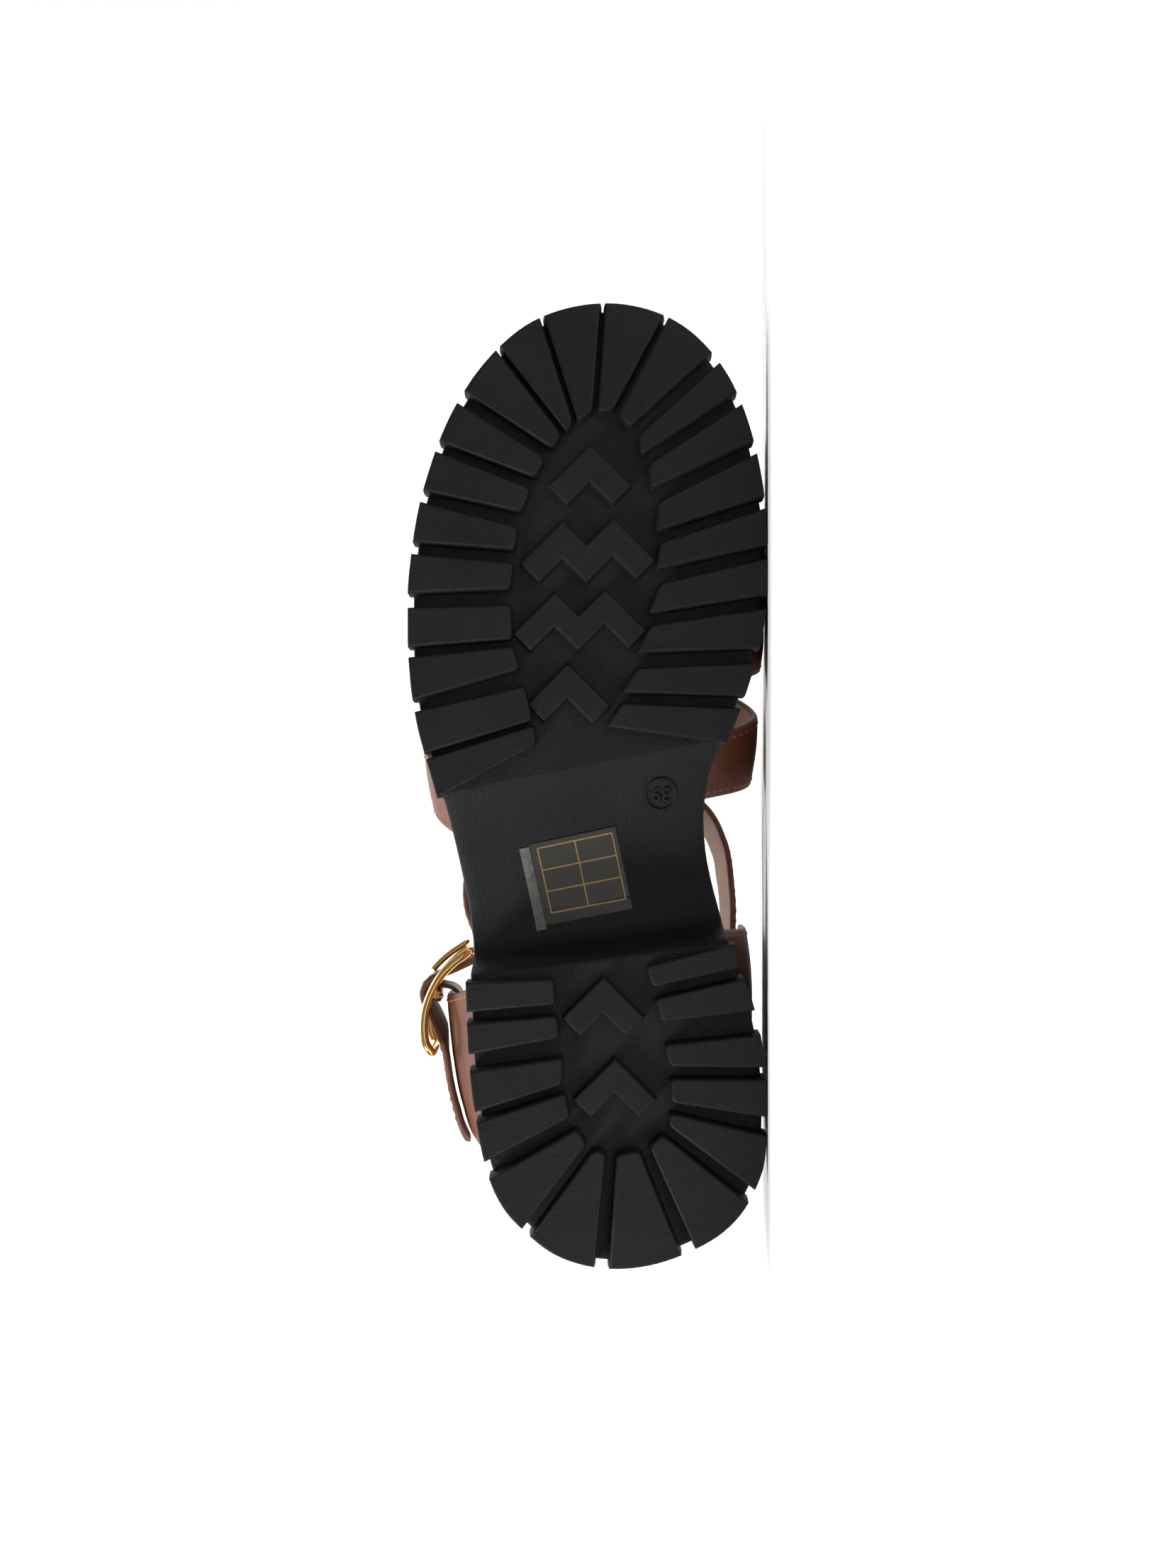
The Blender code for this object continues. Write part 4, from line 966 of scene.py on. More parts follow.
def crease(P, N, rows_):
    """Soft troughs and ridges: centre, direction, half length, half width, depth."""
    for centre, direction, length, width, depth in rows_:
        c, d = np.asarray(centre, float), np.asarray(direction, float)
        q = P - c
        d = d - N * np.sum(N * d, axis=2, keepdims=True)
        d /= np.maximum(np.linalg.norm(d, axis=2, keepdims=True), 1e-9)
        w = np.cross(N, d)
        a, b = np.sum(q * d, axis=2), np.sum(q * w, axis=2)
        n = np.sum(q * N, axis=2)
        b = b + 0.012 * a * a / max(length, 1) * 2
        fall = np.exp(-(a / length) ** 2 - (b / width) ** 2 - (n / 14.0) ** 2)
        P = P - N * (depth * fall)[..., None]
    return P


def shell(P, N, wall, r, swell=0.0):
    """Closed leather solid round a grid of mid-wall points, edges rounded."""
    n, m = P.shape[:2]
    a0, a1 = arc(P, 0), arc(P, 1)
    d = np.minimum(np.minimum(a0, a0[-1:] - a0), np.minimum(a1, a1[:, -1:] - a1))
    half = wall / 2 * np.sqrt(np.clip(1 - (1 - np.clip(d / r, 0, 1)) ** 2, 0, 1))
    puff = swell * np.clip((d - r) / 4.0, 0, 1) ** 0.6 if swell else 0.0
    outer = P + N * (half + puff)[..., None]
    inner = P - N * half[..., None]
    verts = [tuple(p) for p in outer.reshape(-1, 3)]
    index = {}
    for i in range(1, n - 1):
        for j in range(1, m - 1):
            index[(i, j)] = len(verts)
            verts.append(tuple(inner[i, j]))

    def ref(i, j):
        return index.get((i, j), i * m + j)
    faces, slots = [], []
    for i in range(n - 1):
        for j in range(m - 1):
            dd = min(d[i, j], d[i + 1, j], d[i, j + 1], d[i + 1, j + 1])
            edge_mat = dd < r * 0.62
            faces.append([i * m + j, (i + 1) * m + j, (i + 1) * m + j + 1, i * m + j + 1])
            slots.append(2 if edge_mat else 0)
            faces.append([ref(i, j), ref(i, j + 1), ref(i + 1, j + 1), ref(i + 1, j)])
            slots.append(2 if edge_mat else 1)
    return verts, faces, slots, outer


def stitch_line(path, up, gap=3.3, long=2.3, r=0.30, start=1.6):
    """Small sunk capsules along a path; up gives the surface normal there."""
    path, up = np.asarray(path), np.asarray(up)
    run = np.concatenate([[0], np.cumsum(np.linalg.norm(np.diff(path, axis=0), axis=1))])
    verts, faces = [], []
    total = run[-1]
    s = start
    sides = 6
    while s + long < total - 1.0:
        a, b = [np.array([np.interp(q, run, path[:, k]) for k in range(3)]) for q in (s, s + long)]
        u = np.array([np.interp(s + long / 2, run, up[:, k]) for k in range(3)])
        t = (b - a) / max(np.linalg.norm(b - a), 1e-9)
        u = u - t * u.dot(t)
        u /= max(np.linalg.norm(u), 1e-9)
        w = np.cross(t, u)
        base = len(verts)
        for share, size, sink in ((0.0, 0.35, -0.28), (0.14, 0.9, -0.05), (0.5, 1.0, 0.06),
                                  (0.86, 0.9, -0.05), (1.0, 0.35, -0.28)):
            c = a + (b - a) * share + u * sink
            for k in range(sides):
                q = 2 * math.pi * k / sides
                verts.append(tuple(c + (u * math.cos(q) + w * math.sin(q)) * r * size))
        for ring in range(4):
            for k in range(sides):
                j = (k + 1) % sides
                faces.append([base + ring * sides + k, base + ring * sides + j,
                              base + (ring + 1) * sides + j, base + (ring + 1) * sides + k])
        faces.append([base + k for k in range(sides)])
        faces.append([base + 4 * sides + k for k in range(sides)][::-1])
        s += gap
    return verts, faces


def inset_path(O, N, axis, back, d):
    """Path on the outer face at distance d from one border of the grid."""
    A = arc(O, axis)
    pts, ups = [], []
    n = O.shape[1] if axis == 0 else O.shape[0]
    for k in range(n):
        a = A[:, k] if axis == 0 else A[k]
        o = O[:, k] if axis == 0 else O[k]
        u = N[:, k] if axis == 0 else N[k]
        q = a[-1] - d if back else d
        pts.append([np.interp(q, a, o[:, c]) for c in range(3)])
        ups.append([np.interp(q, a, u[:, c]) for c in range(3)])
    return np.array(pts), np.array(ups)


def trim(path, up, low, high):
    """Keep the part of a path between two distances from its ends."""
    run = np.concatenate([[0], np.cumsum(np.linalg.norm(np.diff(path, axis=0), axis=1))])
    keep = (run >= low) & (run <= run[-1] - high)
    return path[keep], up[keep]


def sweep(points, radii, closed, sides=14, flat=1.0, flat_axis=None):
    """Round bar along points."""
    P = np.array([tuple(p) for p in points], float)
    n = len(P)
    if closed:
        T = np.roll(P, -1, 0) - np.roll(P, 1, 0)
    else:
        T = np.gradient(P, axis=0)
    T /= np.linalg.norm(T, axis=1, keepdims=True)
    radii = np.broadcast_to(np.asarray(radii, float), (n,))
    ref = np.array([0.0, 0.0, 1.0]) if abs(T[0][2]) < 0.9 else np.array([1.0, 0, 0])
    U = ref - T[0] * ref.dot(T[0])
    U /= np.linalg.norm(U)
    frames = [U]
    for i in range(1, n):
        U = frames[-1] - T[i] * frames[-1].dot(T[i])
        frames.append(U / np.linalg.norm(U))
    twist = 0.0
    if closed:
        end = frames[-1] - T[0] * frames[-1].dot(T[0])
        end /= np.linalg.norm(end)
        twist = math.atan2(np.cross(end, frames[0]).dot(T[0]), end.dot(frames[0]))
    verts, faces = [], []
    for i in range(n):
        U, V = frames[i], np.cross(T[i], frames[i])
        for k in range(sides):
            a = 2 * math.pi * k / sides - (-twist) * (i / n if closed else 0)
            verts.append(tuple(P[i] + (U * math.cos(a) + V * math.sin(a)) * radii[i]))
    for i in range(n if closed else n - 1):
        j = (i + 1) % n
        for k in range(sides):
            q = (k + 1) % sides
            faces.append([i * sides + k, i * sides + q, j * sides + q, j * sides + k])
    if not closed:
        faces.append([k for k in range(sides)][::-1])
        faces.append([(n - 1) * sides + k for k in range(sides)])
    return verts, faces


# ------------------------------------------------------------------- outsole
FINE = 150
COLS = 26


def fine_stations():
    marks = [84.6, 85.4, 85.8, 86.2, 86.9, 87.8, 88.6, 89.5, 90.4, 92.0, 94.0,
             135.6, 136.2, 136.9, 137.6, 138.0, 138.5, 139.0, 139.6]
    xs = []
    for i in range(FINE + 1):
        x = LENGTH / 2 * (1 - math.cos(math.pi * i / FINE))
        if all(abs(x - q) > 0.6 for q in marks):
            xs.append(x)
    return sorted(xs + marks)


def slab(rings, xs, columns, top_face=None):
    """Slab over the outline from rings of (inset, height function).

    The first ring spans the underside, the last one the upper side."""
    n = len(xs) - 1
    verts, faces, kinds, index = [], [], [], {}

    def at(r, i, j):
        j = 0 if i in (0, n) else j
        key = (r, i, j)
        if key not in index:
            inset, height = rings[r]
            a, b = cross_line(xs[i], inset)
            p = a.lerp(b, j / columns)
            p.z = height(xs[i], p.x, j / columns)
            index[key] = len(verts)
            verts.append(tuple(p))
        return index[key]
    last = len(rings) - 1
    for i in range(n):
        for j in range(columns):
            for r, kind in ((0, 0), (last, 2)):
                q = [at(r, i, j), at(r, i + 1, j), at(r, i + 1, j + 1), at(r, i, j + 1)]
                q = list(dict.fromkeys(q))
                if len(q) > 2:
                    faces.append(q if r == 0 else q[::-1])
                    kinds.append(kind)
        for r in range(last):
            for j in (0, columns):
                q = [at(r, i, j), at(r, i + 1, j), at(r + 1, i + 1, j), at(r + 1, i, j)]
                q = list(dict.fromkeys(q))
                if len(q) > 2:
                    faces.append(q)
                    kinds.append(1)
    return verts, faces, kinds


sole = Bag()
W = WALL_INSET
xs = fine_stations()
v, f, k = slab([
    (W + 0.9, lambda s, x, t: under(s) + spring(x)),
    (W + 0.28, lambda s, x, t: under(s) + spring(x) + 0.24),
    (W, lambda s, x, t: under(s) + spring(x) + 0.85),
    (W, lambda s, x, t: top(x) - 4.6),
    (W + 0.35, lambda s, x, t: top(x) - 4.2),
    (W + 0.35, lambda s, x, t: top(x) - 3.8),
    (W, lambda s, x, t: top(x) - 3.4),
    (W, lambda s, x, t: top(x) - 1.3),
    (W + 0.35, lambda s, x, t: top(x) - 0.4),
    (W + 1.2, lambda s, x, t: top(x))], xs, COLS)
sole.add(v, f, [1 if q == 1 else 0 for q in k])


def fine_lugs(table, step, draft):
    """Tread outline and wider base outline of each lug, point for point."""
    out = []
    for a, b in zip(table, table[1:]):
        pair = []
        n = None
        for grow in (0.0, draft):
            oa, ia, na, woa, wia = groove_sides(a)
            ob_, ib, nb, wob, wib = groove_sides(b)
            if na.dot(ob_ - oa) < 0:
                na = -na
            if nb.dot(oa - ob_) < 0:
                nb = -nb
            ga = grow if woa > 0 else 0.0
            gb = grow if wob > 0 else 0.0
            inward_a, inward_b = (ia - oa).normalized(), (ib - ob_).normalized()
            a_in, a_out = ia + na * (wia - ga) + inward_a * grow, oa + na * (woa - ga)
            b_in, b_out = ib + nb * (wib - gb) + inward_b * grow, ob_ + nb * (wob - gb)
            pa = hit(a_in, (a_out - a_in).normalized())
            pb = hit(b_in, (b_out - b_in).normalized())
            if abs(pb - pa) > LOOP_N / 2:
                if pa < pb:
                    pa += LOOP_N
                else:
                    pb += LOOP_N
            if n is None:
                n = max(3, round((loop_point(pa) - loop_point(pb)).length / step))
            outer = [pa + (pb - pa) * q / n for q in range(n + 1)]
            pair.append([(loop_point(p), loop_normal(p)) for p in outer] + [(b_in, None), (a_in, None)])
        out.append(pair)
    return out


def bevelled(rings, corner_edges, corner, lip, lip_steps=3):
    """Block from matching rings, corners rounded, then its tread face edge."""
    bm = bmesh.new()
    layers = [[bm.verts.new(p) for p in ring] for ring in rings]
    n = len(rings[0])
    bm.faces.new(layers[0])
    bm.faces.new(layers[-1][::-1])
    for r in range(len(layers) - 1):
        for q in range(n):
            j = (q + 1) % n
            bm.faces.new([layers[r][q], layers[r][j], layers[r + 1][j], layers[r + 1][q]][::-1])
    bmesh.ops.recalc_face_normals(bm, faces=bm.faces)
    picks = []
    for q in corner_edges:
        for r in range(len(layers) - 1):
            e = bm.edges.get([layers[r][q], layers[r + 1][q]])
            if e:
                picks.append(e)
    if corner > 0:
        bmesh.ops.bevel(bm, geom=picks, offset=corner, segments=3, profile=0.5,
                        affect="EDGES", clamp_overlap=True)
    bm.normal_update()
    face = min(bm.faces, key=lambda q: q.normal.z - 0.0001 * q.calc_area() if q.calc_area() > 8 else 9)
    bmesh.ops.bevel(bm, geom=list(face.edges), offset=lip, segments=lip_steps, profile=0.5,
                    affect="EDGES", clamp_overlap=True)
    bm.normal_update()
    flat = [q for q in bm.faces if q.normal.z < -0.98 and q.calc_area() > 6]
    if flat:
        face = max(flat, key=lambda q: q.calc_area())
        bmesh.ops.inset_region(bm, faces=[face], thickness=0.22, use_even_offset=True)
    bmesh.ops.triangulate(bm, faces=[q for q in bm.faces if len(q.verts) > 4])
    bm.verts.index_update()
    verts = [tuple(q.co) for q in bm.verts]
    faces = [[q.index for q in g.verts] for g in bm.faces]
    bm.free()
    return verts, faces


for table in (FORE_GROOVES, HEEL_GROOVES):
    for upper_ring, base_ring in fine_lugs(table, 2.2, 0.42):
        count = len(upper_ring) - 2
        r0, r1, r2, r3 = [], [], [], []
        for q, ((p, nrm), (pb, nb)) in enumerate(zip(upper_ring, base_ring)):
            z = spring(p.x)
            r0.append((p.x, p.y, z))
            r1.append((pb.x, pb.y, z + LUG_DEPTH))
            r2.append((pb.x, pb.y, z + LUG_WRAP))
            if nrm is not None:
                g = pb + nb * (WALL_INSET + 0.7)
                r3.append((g.x, g.y, z + LUG_WRAP + 1.6))
            else:
                r3.append((pb.x, pb.y, z + LUG_WRAP + 1.6))
        n = len(r0)
        v, f = bevelled([r0, r1, r2, r3], [n - 1, n - 2], 1.3, 0.62)
        sole.add(v, f, 0)

for table_row in CHEVRONS:
    line = chevron_outline(table_row)
    centre = sum(line, Vector()) / len(line)
    z0, z1 = LUG_DEPTH - CHEVRON_RISE, LUG_DEPTH + 1.0
    # arms widen a little towards the floor of the hollow
    area = sum(a.x * b.y - b.x * a.y for a, b in zip(line, line[1:] + line[:1]))
    wide = []
    for q in range(len(line)):
        a, p, b = line[q - 1], line[q], line[(q + 1) % len(line)]
        d0, d1 = (p - a).normalized(), (b - p).normalized()
        n0, n1 = Vector((d0.y, -d0.x, 0)), Vector((d1.y, -d1.x, 0))
        if area < 0:
            n0, n1 = -n0, -n1
        m_ = (n0 + n1) / max(0.4, 1 + n0.dot(n1))
        wide.append(p + m_ * 0.45)
    r0 = [(p.x, p.y, z0 + spring(p.x)) for p in line]
    r1 = [(p.x, p.y, LUG_DEPTH + spring(p.x)) for p in wide]
    r2 = [(p.x, p.y, z1 + spring(p.x)) for p in wide]
    v, f = bevelled([r0, r1, r2], [], 0, 0.5)
    sole.add(v, f, 0)

piece("outsole_rubber", sole.v, sole.f, [rubber, rubber_side], sole.m, angle=42,
      stands_for=["outsole"])

# ------------------------------------------------ size ring and label, waist
def waist_z(x, y):
    return under(x - (y / 36.0) * shear(x))


ring = Bag()
ring_line = []
for q in range(64):
    a = 2 * math.pi * q / 64
    x, y = 132.0 + 4.4 * math.cos(a), 20.7 + 4.4 * math.sin(a)
    ring_line.append((x, y, waist_z(x, y) - 0.02))
v, f = sweep(ring_line, 0.26, True, 8)
ring.add(v, f)
curve = bpy.data.curves.new("size_number", "FONT")
curve.body = "39"
curve.size = 5.6
curve.align_x = "CENTER"
curve.align_y = "CENTER"
curve.extrude = 0.3
curve.bevel_depth = 0.09
text = bpy.data.objects.new("size_number", curve)
bpy.context.scene.collection.objects.link(text)
bpy.context.view_layer.update()
mesh = bpy.data.meshes.new_from_object(text.evaluated_get(bpy.context.evaluated_depsgraph_get()))
pts, polys = [], [list(p.vertices) for p in mesh.polygons]
for p in mesh.vertices:
    # read from below with the heel up: the number's up is towards the heel
    x, y = 132.0 - p.co.y, 20.7 - p.co.x
    pts.append((x, y, waist_z(x, y) - p.co.z * 0.9 + 0.02))
ring.add(pts, polys)
bpy.data.objects.remove(text, do_unlink=True)
piece("size_ring", ring.v, ring.f, [rubber], ring.m, angle=40)

LABEL = [(116.32, -14.6), (120.82, 6.83), (98.23, 11.7), (94.1, -10.05)]


def label_point(u, v_, lift):
    """u across from the lateral side, v_ from the toe end to the heel end."""
    a, b, c, d = [Vector(q) for q in LABEL]
    p = a.lerp(b, u).lerp(d.lerp(c, u), v_)
    return (p.x, p.y, waist_z(p.x, p.y) - lift)


def patch(u0, u1, v0, v1, lift, nu, nv, thick=0.12):
    verts = []
    for h in (lift, lift - thick):
        for i in range(nu + 1):
            for j in range(nv + 1):
                verts.append(label_point(u0 + (u1 - u0) * i / nu, v0 + (v1 - v0) * j / nv, h))
    faces = []
    off = (nu + 1) * (nv + 1)
    for i in range(nu):
        for j in range(nv):
            q = [i * (nv + 1) + j, (i + 1) * (nv + 1) + j, (i + 1) * (nv + 1) + j + 1, i * (nv + 1) + j + 1]
            faces += [q, [w + off for w in q][::-1]]
    rim = [i * (nv + 1) for i in range(nu + 1)] + [nu * (nv + 1) + j for j in range(1, nv + 1)] \
        + [i * (nv + 1) + nv for i in range(nu - 1, -1, -1)] + [j for j in range(nv - 1, 0, -1)]
    for a, b in zip(rim, rim[1:] + rim[:1]):
        faces.append([a, b, b + off, a + off])
    return verts, faces


label = Bag()
label.add(*patch(-0.10, 1.06, -0.07, 1.0, 0.10, 24, 28), 0)
label.add(*patch(-0.235, -0.105, -0.04, 1.05, 0.13, 6, 28, 0.10), 1)
for u in (0.0, 0.5, 1.0):
    label.add(*patch(u - 0.0085, u + 0.0085, 0.0, 0.86, 0.135, 2, 28, 0.06), 2)
for w in (0.0, 0.29, 0.575, 0.86):
    label.add(*patch(0.0, 1.0, w - 0.0085, w + 0.0085, 0.135, 24, 2, 0.06), 2)
piece("waist_label", label.v, label.f, [film, film_haze, ink], label.m, angle=50)

# ------------------------------------------------------------------- footbed
def dish(x, t):
    """Hollow of the footbed: deeper under the heel, a ridge under the arch."""
    side = max(0.0, 1 - (2 * t - 1) ** 2) ** 0.8
    heel = math.exp(-((x - 42) / 34.0) ** 2) * 1.5
    ball = math.exp(-((x - 195) / 38.0) ** 2) * 0.9
    return side * (0.35 + heel + ball)


F = FOOTBED_THICK
fx = [x for x in fine_stations() if not 84 < x < 95 and not 135 < x < 140] + [86.0, 89.0, 92.0, 137.0]
fx = sorted(fx)
v, f, k = slab([
    (FOOTBED_INSET + 0.4, lambda s, x, t: top(x) + GAP),
    (FOOTBED_INSET, lambda s, x, t: top(x) + GAP + 0.5),
    (FOOTBED_INSET, lambda s, x, t: top(x) + GAP + F - 1.1),
    (FOOTBED_INSET + 0.25, lambda s, x, t: top(x) + GAP + F - 0.45),
    (FOOTBED_INSET + 0.8, lambda s, x, t: top(x) + GAP + F - 0.08),
    (FOOTBED_INSET + 1.6, lambda s, x, t: top(x) + GAP + F - dish(x, t) * (1.0 if 0 < t < 1 else 0.0))],
    fx, 30)
bed = Bag()
bed.add(v, f, [0 if q == 2 else (1 if q == 1 else 0) for q in k])
piece("footbed_cover", bed.v, bed.f, [sock, sock], bed.m, angle=50,
      stands_for=["footbed"])


# -------------------------------------------------------------------- straps
def stretch_ends(P, low, high):
    """Carry the first and last rows on, down into the sole."""
    first = P[0] + (P[0] - P[1]) / np.maximum(np.linalg.norm(P[0] - P[1], axis=1, keepdims=True), 1e-9) * low
    last = P[-1] + (P[-1] - P[-2]) / np.maximum(np.linalg.norm(P[-1] - P[-2], axis=1, keepdims=True), 1e-9) * high
    return np.concatenate([first[None], P, last[None]], axis=0)


_sections = {}


def last_at(x, s):
    """last_point with its sections kept in steps of a twentieth millimetre."""
    key = round(x * 20)
    if key not in _sections:
        halves = []
        for pts in last_section(key / 20):
            a = np.array([tuple(p) for p in pts])
            run = np.concatenate([[0], np.cumsum(np.linalg.norm(np.diff(a, axis=0), axis=1))])
            halves.append((a, run))
        _sections[key] = halves
    medial, lateral = _sections[key]
    a, run = medial if s <= 0.5 else lateral
    want = run[-1] * (s * 2 if s <= 0.5 else (1 - s) * 2)
    p = [np.interp(want, run, a[:, c]) for c in range(3)]
    p[0] = x
    return p


def smooth(P, axis, rounds):
    """Take the small steps out of a sampled grid, ends held."""
    for _ in range(rounds):
        Q = P.copy()
        if axis == 0:
            Q[1:-1] = P[1:-1] * 0.5 + (P[:-2] + P[2:]) * 0.25
        else:
            Q[:, 1:-1] = P[:, 1:-1] * 0.5 + (P[:, :-2] + P[:, 2:]) * 0.25
        P = Q
    return P


def strap_grid(table, along, across, r):
    ss = [q[0] for q in table]
    rear = pchip(ss, [q[1] for q in table])
    front = pchip(ss, [q[2] for q in table])
    rows_ = []
    for i in range(along + 1):
        s = i / along
        a, b = rear(s), front(s)
        rows_.append([last_at(a + d, s) for d in border_steps(b - a, across, r)])
    return np.array(rows_)


ALONG = 150
R_EDGE = 1.05
CENTRE = (150, 5, 40)


def strap_piece(name, table, wall, across, creases, node_name, swell=0.12):
    P = strap_grid(table, ALONG, across, R_EDGE)
    P = smooth(P, 0, 4)
    P = stretch_ends(P, 1.7, 1.7)
    N = normals(P, CENTRE)
    P = crease(P, N, creases)
    N = normals(P, CENTRE)
    v, f, m, outer = shell(P, N, wall, R_EDGE, swell)
    bag = Bag()
    bag.add(v, f, m)
    for back in (False, True):
        path, up = inset_path(outer, N, 1, back, 2.9)
        path, up = trim(path, up, 3.0, 3.0)
        bag.add(*stitch_line(path, up), 3)
    return piece(name, bag.v, bag.f, [leather, lining, cut_edge, thread], bag.m, angle=55,
                 stands_for=[node_name])


strap_piece("front_band_leather", FRONT_BAND, BAND_WALL, 40, [
    ((196, 6, 68), (0.12, 1, 0), 22, 2.6, 0.55), ((204, -8, 65), (-0.15, 1, 0), 18, 2.2, 0.42),
    ((190, 24, 66), (0.5, 0.8, 0.3), 12, 2.2, 0.38), ((186, -26, 62), (-0.5, 0.8, -0.3), 12, 2.2, 0.36),
    ((212, 14, 60), (0.1, 1, 0), 20, 4.0, -0.35), ((182, 50, 44), (0.3, 0, 1), 10, 3.0, 0.30),
    ((176, -49, 44), (0.3, 0, 1), 10, 3.0, 0.30)], "front_band")
strap_piece("instep_strap_leather", INSTEP_STRAP, LEATHER, 18, [
    ((162, 8, 84), (0.9, 0.3, 0), 9, 2.4, 0.30), ((146, 40, 70), (0.9, 0, 0.4), 9, 2.2, 0.34),
    ((143, -38, 66), (0.9, 0, 0.4), 9, 2.2, 0.34), ((152, -20, 82), (0.8, 0.3, 0), 8, 2.0, 0.24)],
    "instep_strap")

# ------------------------------------------------------------- heel counter
rows_ = []
nc = 190
c_len, h_len = 236.0, 50.0
for c in [q / c_len for q in border_steps(c_len, nc, R_EDGE)]:
    c = min(1.0, max(0.0, c))
    rows_.append([tuple(counter_point(c, min(1.0, max(0.0, q / h_len))))
                  for q in border_steps(h_len, 40, R_EDGE)])
P = np.array(rows_)
P = P[:, 3:]
low = P[:, :1].copy()
low[..., 2] -= 1.9
P = np.concatenate([low, P], axis=1)
N = normals(P, (60, 3, 70))
P = crease(P, N, [
    ((30, 47, 84), (1, 0.3, 0), 13, 2.6, 0.45), ((26, -40, 82), (1, -0.4, 0), 12, 2.6, 0.45),
    ((4, 2, 72), (0, 1, 0), 20, 5.0, -0.35), ((12, 34, 64), (0.4, 0.8, 0.2), 12, 3.4, 0.32),
    ((60, 52, 70), (0.5, 0, 1), 10, 3.0, 0.28), ((58, -45, 68), (0.5, 0, 1), 10, 3.0, 0.26)])
N = normals(P, (60, 3, 70))
v, f, m, outer = shell(P, N, LEATHER, R_EDGE, 0.12)
bag = Bag()
bag.add(v, f, m)
for axis, back, d in ((1, True, 2.9), (0, False, 2.9), (0, True, 2.9)):
    path, up = inset_path(outer, N, axis, back, d)
    path, up = trim(path, up, 4.0 if axis == 0 else 3.0, 3.0)
    bag.add(*stitch_line(path, up), 3)
piece("heel_counter_leather", bag.v, bag.f, [leather, lining, cut_edge, thread], bag.m, angle=55,
      stands_for=["heel_counter"])

# -------------------------------------------------------------- ankle strap
samples = ankle_rows(1.5, 0.8)
total = samples[0][3]
grid = []
for p, w, t, left in samples:
    half = STRAP_WIDTH / 2
    if left < 10.0:
        half *= max(0.10, math.sqrt(max(0.0, 1 - ((10.0 - left) / 10.0) ** 2)))
    steps = border_steps(2 * half, 12, min(R_EDGE, half * 0.4))
    grid.append([tuple(p + w * (q - half)) for q in steps])
P = np.array(grid)
N = normals(P, (75, 2, 95))
P = crease(P, N, [
    ((128, 33, 99), (0, 0.2, 1), 10, 2.4, 0.35), ((137, 12, 108), (0, 0.2, 1), 10, 2.6, 0.32),
    ((133, -20, 106), (0, 0.2, 1), 10, 2.4, 0.34), ((112, -36.5, 94), (0.1, 0, 1), 10, 2.6, 0.30),
    ((104, 45, 87), (0.1, 0, 1), 10, 2.6, 0.28), ((97, -38.5, 89), (0.1, 0, 1), 10, 2.2, 0.26)])
N = normals(P, (75, 2, 95))
v, f, m, outer = shell(P, N, LEATHER, R_EDGE, 0.08)
bag = Bag()
bag.add(v, f, m)
for back in (False, True):
    path, up = inset_path(outer, N, 1, back, 2.6)
    path, up = trim(path, up, 3.0, 9.0)
    bag.add(*stitch_line(path, up), 3)
# punched holes down the middle of the tail; each is a rim round a dark disc of painted shade for the hole's depth
centre_line = outer[:, outer.shape[1] // 2]
centre_up = N[:, N.shape[1] // 2]
lefts = np.array([q[3] for q in samples])
for want in (13.0, 21.5, 30.0):
    q = int(np.argmin(abs(lefts - want)))
    c, u = centre_line[q], centre_up[q]
    t = centre_line[min(q + 1, len(lefts) - 1)] - centre_line[q - 1]
    t /= np.linalg.norm(t)
    w = np.cross(u, t)
    verts, faces = [], []
    sides = 20
    for radius, lift in ((1.55, -0.04), (1.42, 0.10), (1.22, 0.10), (1.05, -0.02), (0.02, -0.03)):
        for k in range(sides):
            a = 2 * math.pi * k / sides
            verts.append(tuple(c + (t * math.cos(a) + w * math.sin(a)) * radius + u * lift))
    mats = []
    for ring_ in range(4):
        for k in range(sides):
            j = (k + 1) % sides
            faces.append([ring_ * sides + k, ring_ * sides + j, (ring_ + 1) * sides + j, (ring_ + 1) * sides + k])
            # the innermost ring is the disc that carries the painted shade of the hole
            mats.append(4 if ring_ == 3 else 2)
    bag.add(verts, faces, mats)
piece("ankle_strap_leather", bag.v, bag.f, [leather, lining, cut_edge, thread, hole_painted_shade], bag.m, angle=55,
      stands_for=["ankle_strap"])

# ------------------------------------------------------------ buckle and tab
metal = Bag()
metal.add(*sweep(buckle_loop(60, 6), BUCKLE_WIRE, True, 18), 0)
metal.add(*sweep([(BAR[0], BAR[1] - 0.6, BUCKLE_Z - BUCKLE_HALF - 0.2), (BAR[0], BAR[1], BUCKLE_Z - BUCKLE_HALF + 2.6),
                  (BAR[0], BAR[1], BUCKLE_Z), (BAR[0], BAR[1], BUCKLE_Z + BUCKLE_HALF - 2.6),
                  (BAR[0], BAR[1] - 0.6, BUCKLE_Z + BUCKLE_HALF + 0.2)], BUCKLE_BAR, False, 16), 0)
piece("buckle_frame_gold", metal.v, metal.f, [gold], metal.m, angle=50,
      stands_for=["buckle_frame"])

line = spline([(x, y, BUCKLE_Z) for x, y in PRONG], 40)
radii = [PRONG_WIRE * (1.0 if q < 32 else math.sqrt(max(0.08, 1 - ((q - 31) / 8.6) ** 2))) for q in range(40)]
metal = Bag()
metal.add(*sweep(line, radii, False, 14), 0)
piece("buckle_prong_gold", metal.v, metal.f, [gold], metal.m, angle=50,
      stands_for=["buckle_prong"])


def fine_tab():
    pts = []
    for i in range(4):
        x = TAB_START + (64.0 - TAB_START) * i / 3
        z = BUCKLE_Z - TAB_HEIGHT / 2
        c = counter_share(x, -1, z)
        pts.append(counter_at(c, z) - counter_normal(c, z) * (LEATHER / 2 + TAB_WALL / 2 + 0.5))
    pts += [Vector((x, y, BUCKLE_Z)) for x, y in TAB_FREE]
    r = BUCKLE_BAR + 0.35 + TAB_WALL / 2
    for k in range(13):
        a = -math.radians(200) * k / 12
        pts.append(Vector((BAR[0] + r * math.cos(a), BAR[1] + r * math.sin(a), BUCKLE_Z)))
    for p in pts:
        p.z = BUCKLE_Z
    return spline(pts, 60)


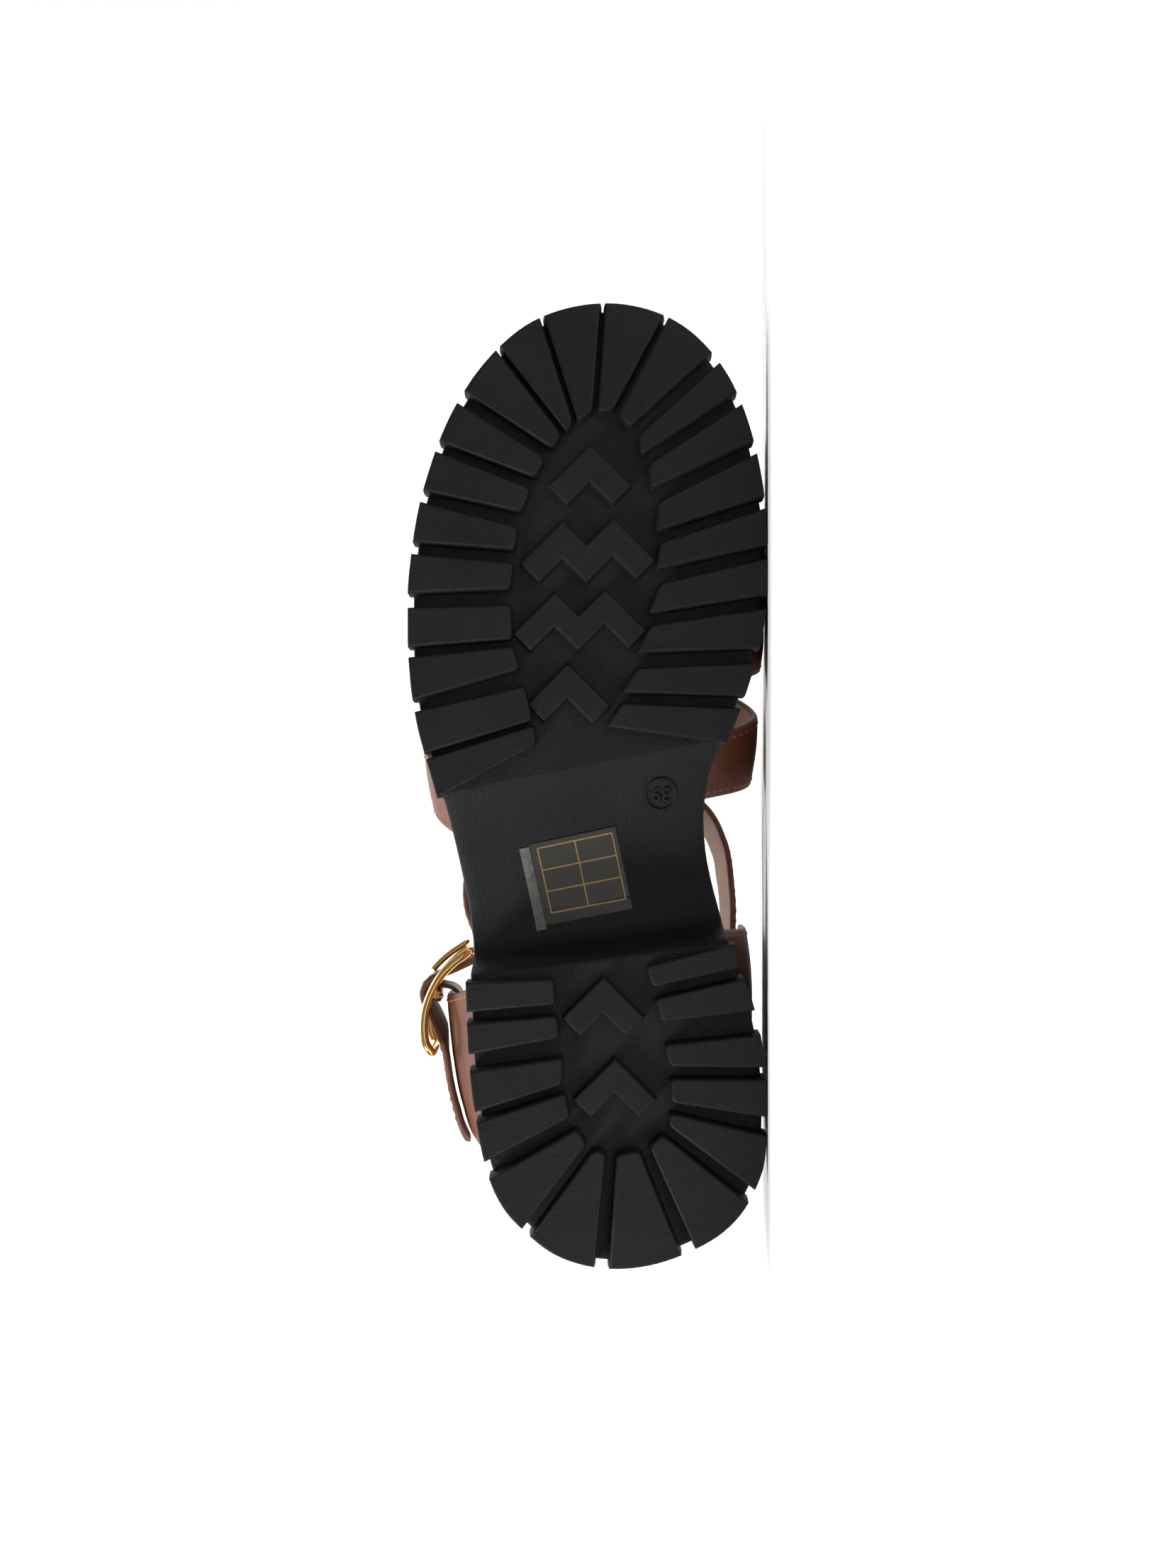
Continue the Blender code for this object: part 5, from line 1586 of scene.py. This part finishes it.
steps = border_steps(TAB_HEIGHT, 8, 0.6)
P = np.array([[tuple(p + Vector((0, 0, q - TAB_HEIGHT / 2))) for q in steps] for p in fine_tab()])
N = normals(P, (BAR[0], BAR[1], BUCKLE_Z))
v, f, m, outer = shell(P, N, TAB_WALL, 0.6)
piece("buckle_tab_leather", v, f, [leather, leather, cut_edge], m, angle=55,
      stands_for=["buckle_tab"])

# ------------------------------------------------------- floor, light, camera
def plain(name, colour, rough):
    m = bpy.data.materials.new(name)
    m.use_nodes = True
    b = m.node_tree.nodes["Principled BSDF"]
    b.inputs["Base Color"].default_value = (*colour, 1)
    b.inputs["Roughness"].default_value = rough
    b.inputs["Specular IOR Level"].default_value = 0.1
    return m


white = plain("studio_white", (0.87, 0.87, 0.87), 0.9)
mesh = bpy.data.meshes.new("studio_floor")
# one sweep: floor in front, a wide curve behind, a wall going up
profile = [(-6.0, 0.0), (2.0, 0.0)]
for q in range(1, 13):
    a = math.pi / 2 * q / 12
    profile.append((2.0 + 1.5 * math.sin(a), 1.5 - 1.5 * math.cos(a)))
profile.append((3.5, 7.0))
verts, faces = [], []
for y, z in profile:
    verts += [(-7.0, y, z), (7.0, y, z)]
for q in range(len(profile) - 1):
    faces.append([2 * q, 2 * q + 1, 2 * q + 3, 2 * q + 2])
mesh.from_pydata(verts, [], faces)
mesh.materials.append(white)
mesh.shade_smooth()
floor = bpy.data.objects.new("studio_floor", mesh)
bpy.context.scene.collection.objects.link(floor)


def lamp(name, place, aim, size, watts, colour=(1, 1, 1)):
    data = bpy.data.lights.new(name, "AREA")
    data.shape = "DISK"
    data.size = size
    data.energy = watts
    data.color = colour
    ob = bpy.data.objects.new(name, data)
    ob.location = place
    ob.rotation_euler = (Vector(aim) - Vector(place)).to_track_quat("-Z", "Y").to_euler()
    bpy.context.scene.collection.objects.link(ob)
    return ob


lamp("key", (-1.75, -1.05, 1.35), (0, 0, 0.05), 0.7, 66, (1.0, 0.985, 0.96))
lamp("top", (0.3, 0.6, 2.2), (0, 0.2, 0.05), 1.6, 26)
lamp("wall", (0, 1.2, 3.0), (0, 3.5, 1.2), 2.0, 110)

world = bpy.data.worlds.new("studio")
world.use_nodes = True
world.node_tree.nodes["Background"].inputs["Color"].default_value = (1, 1, 1, 1)
world.node_tree.nodes["Background"].inputs["Strength"].default_value = 0.22
bpy.context.scene.world = world

data = bpy.data.cameras.new("camera")
data.sensor_fit = "VERTICAL"
data.angle = math.radians(48.8)
data.clip_start = 0.01
camera = bpy.data.objects.new("camera", data)
eye = row([(134.9, 0.0, -480.0)])[0]
look = (row([(134.9, 0.0, 0.0)])[0] - eye)
look /= np.linalg.norm(look)
d = Vector([float(q) for q in look])
up = Vector((1, 0, 0))
right = d.cross(up).normalized()
turn = Matrix((right, up, -d)).transposed()
camera.matrix_world = Matrix.Translation(Vector([float(q) for q in eye])) @ turn.to_4x4()
bpy.context.scene.collection.objects.link(camera)
bpy.context.scene.camera = camera
bpy.context.scene.view_settings.view_transform = "Standard"
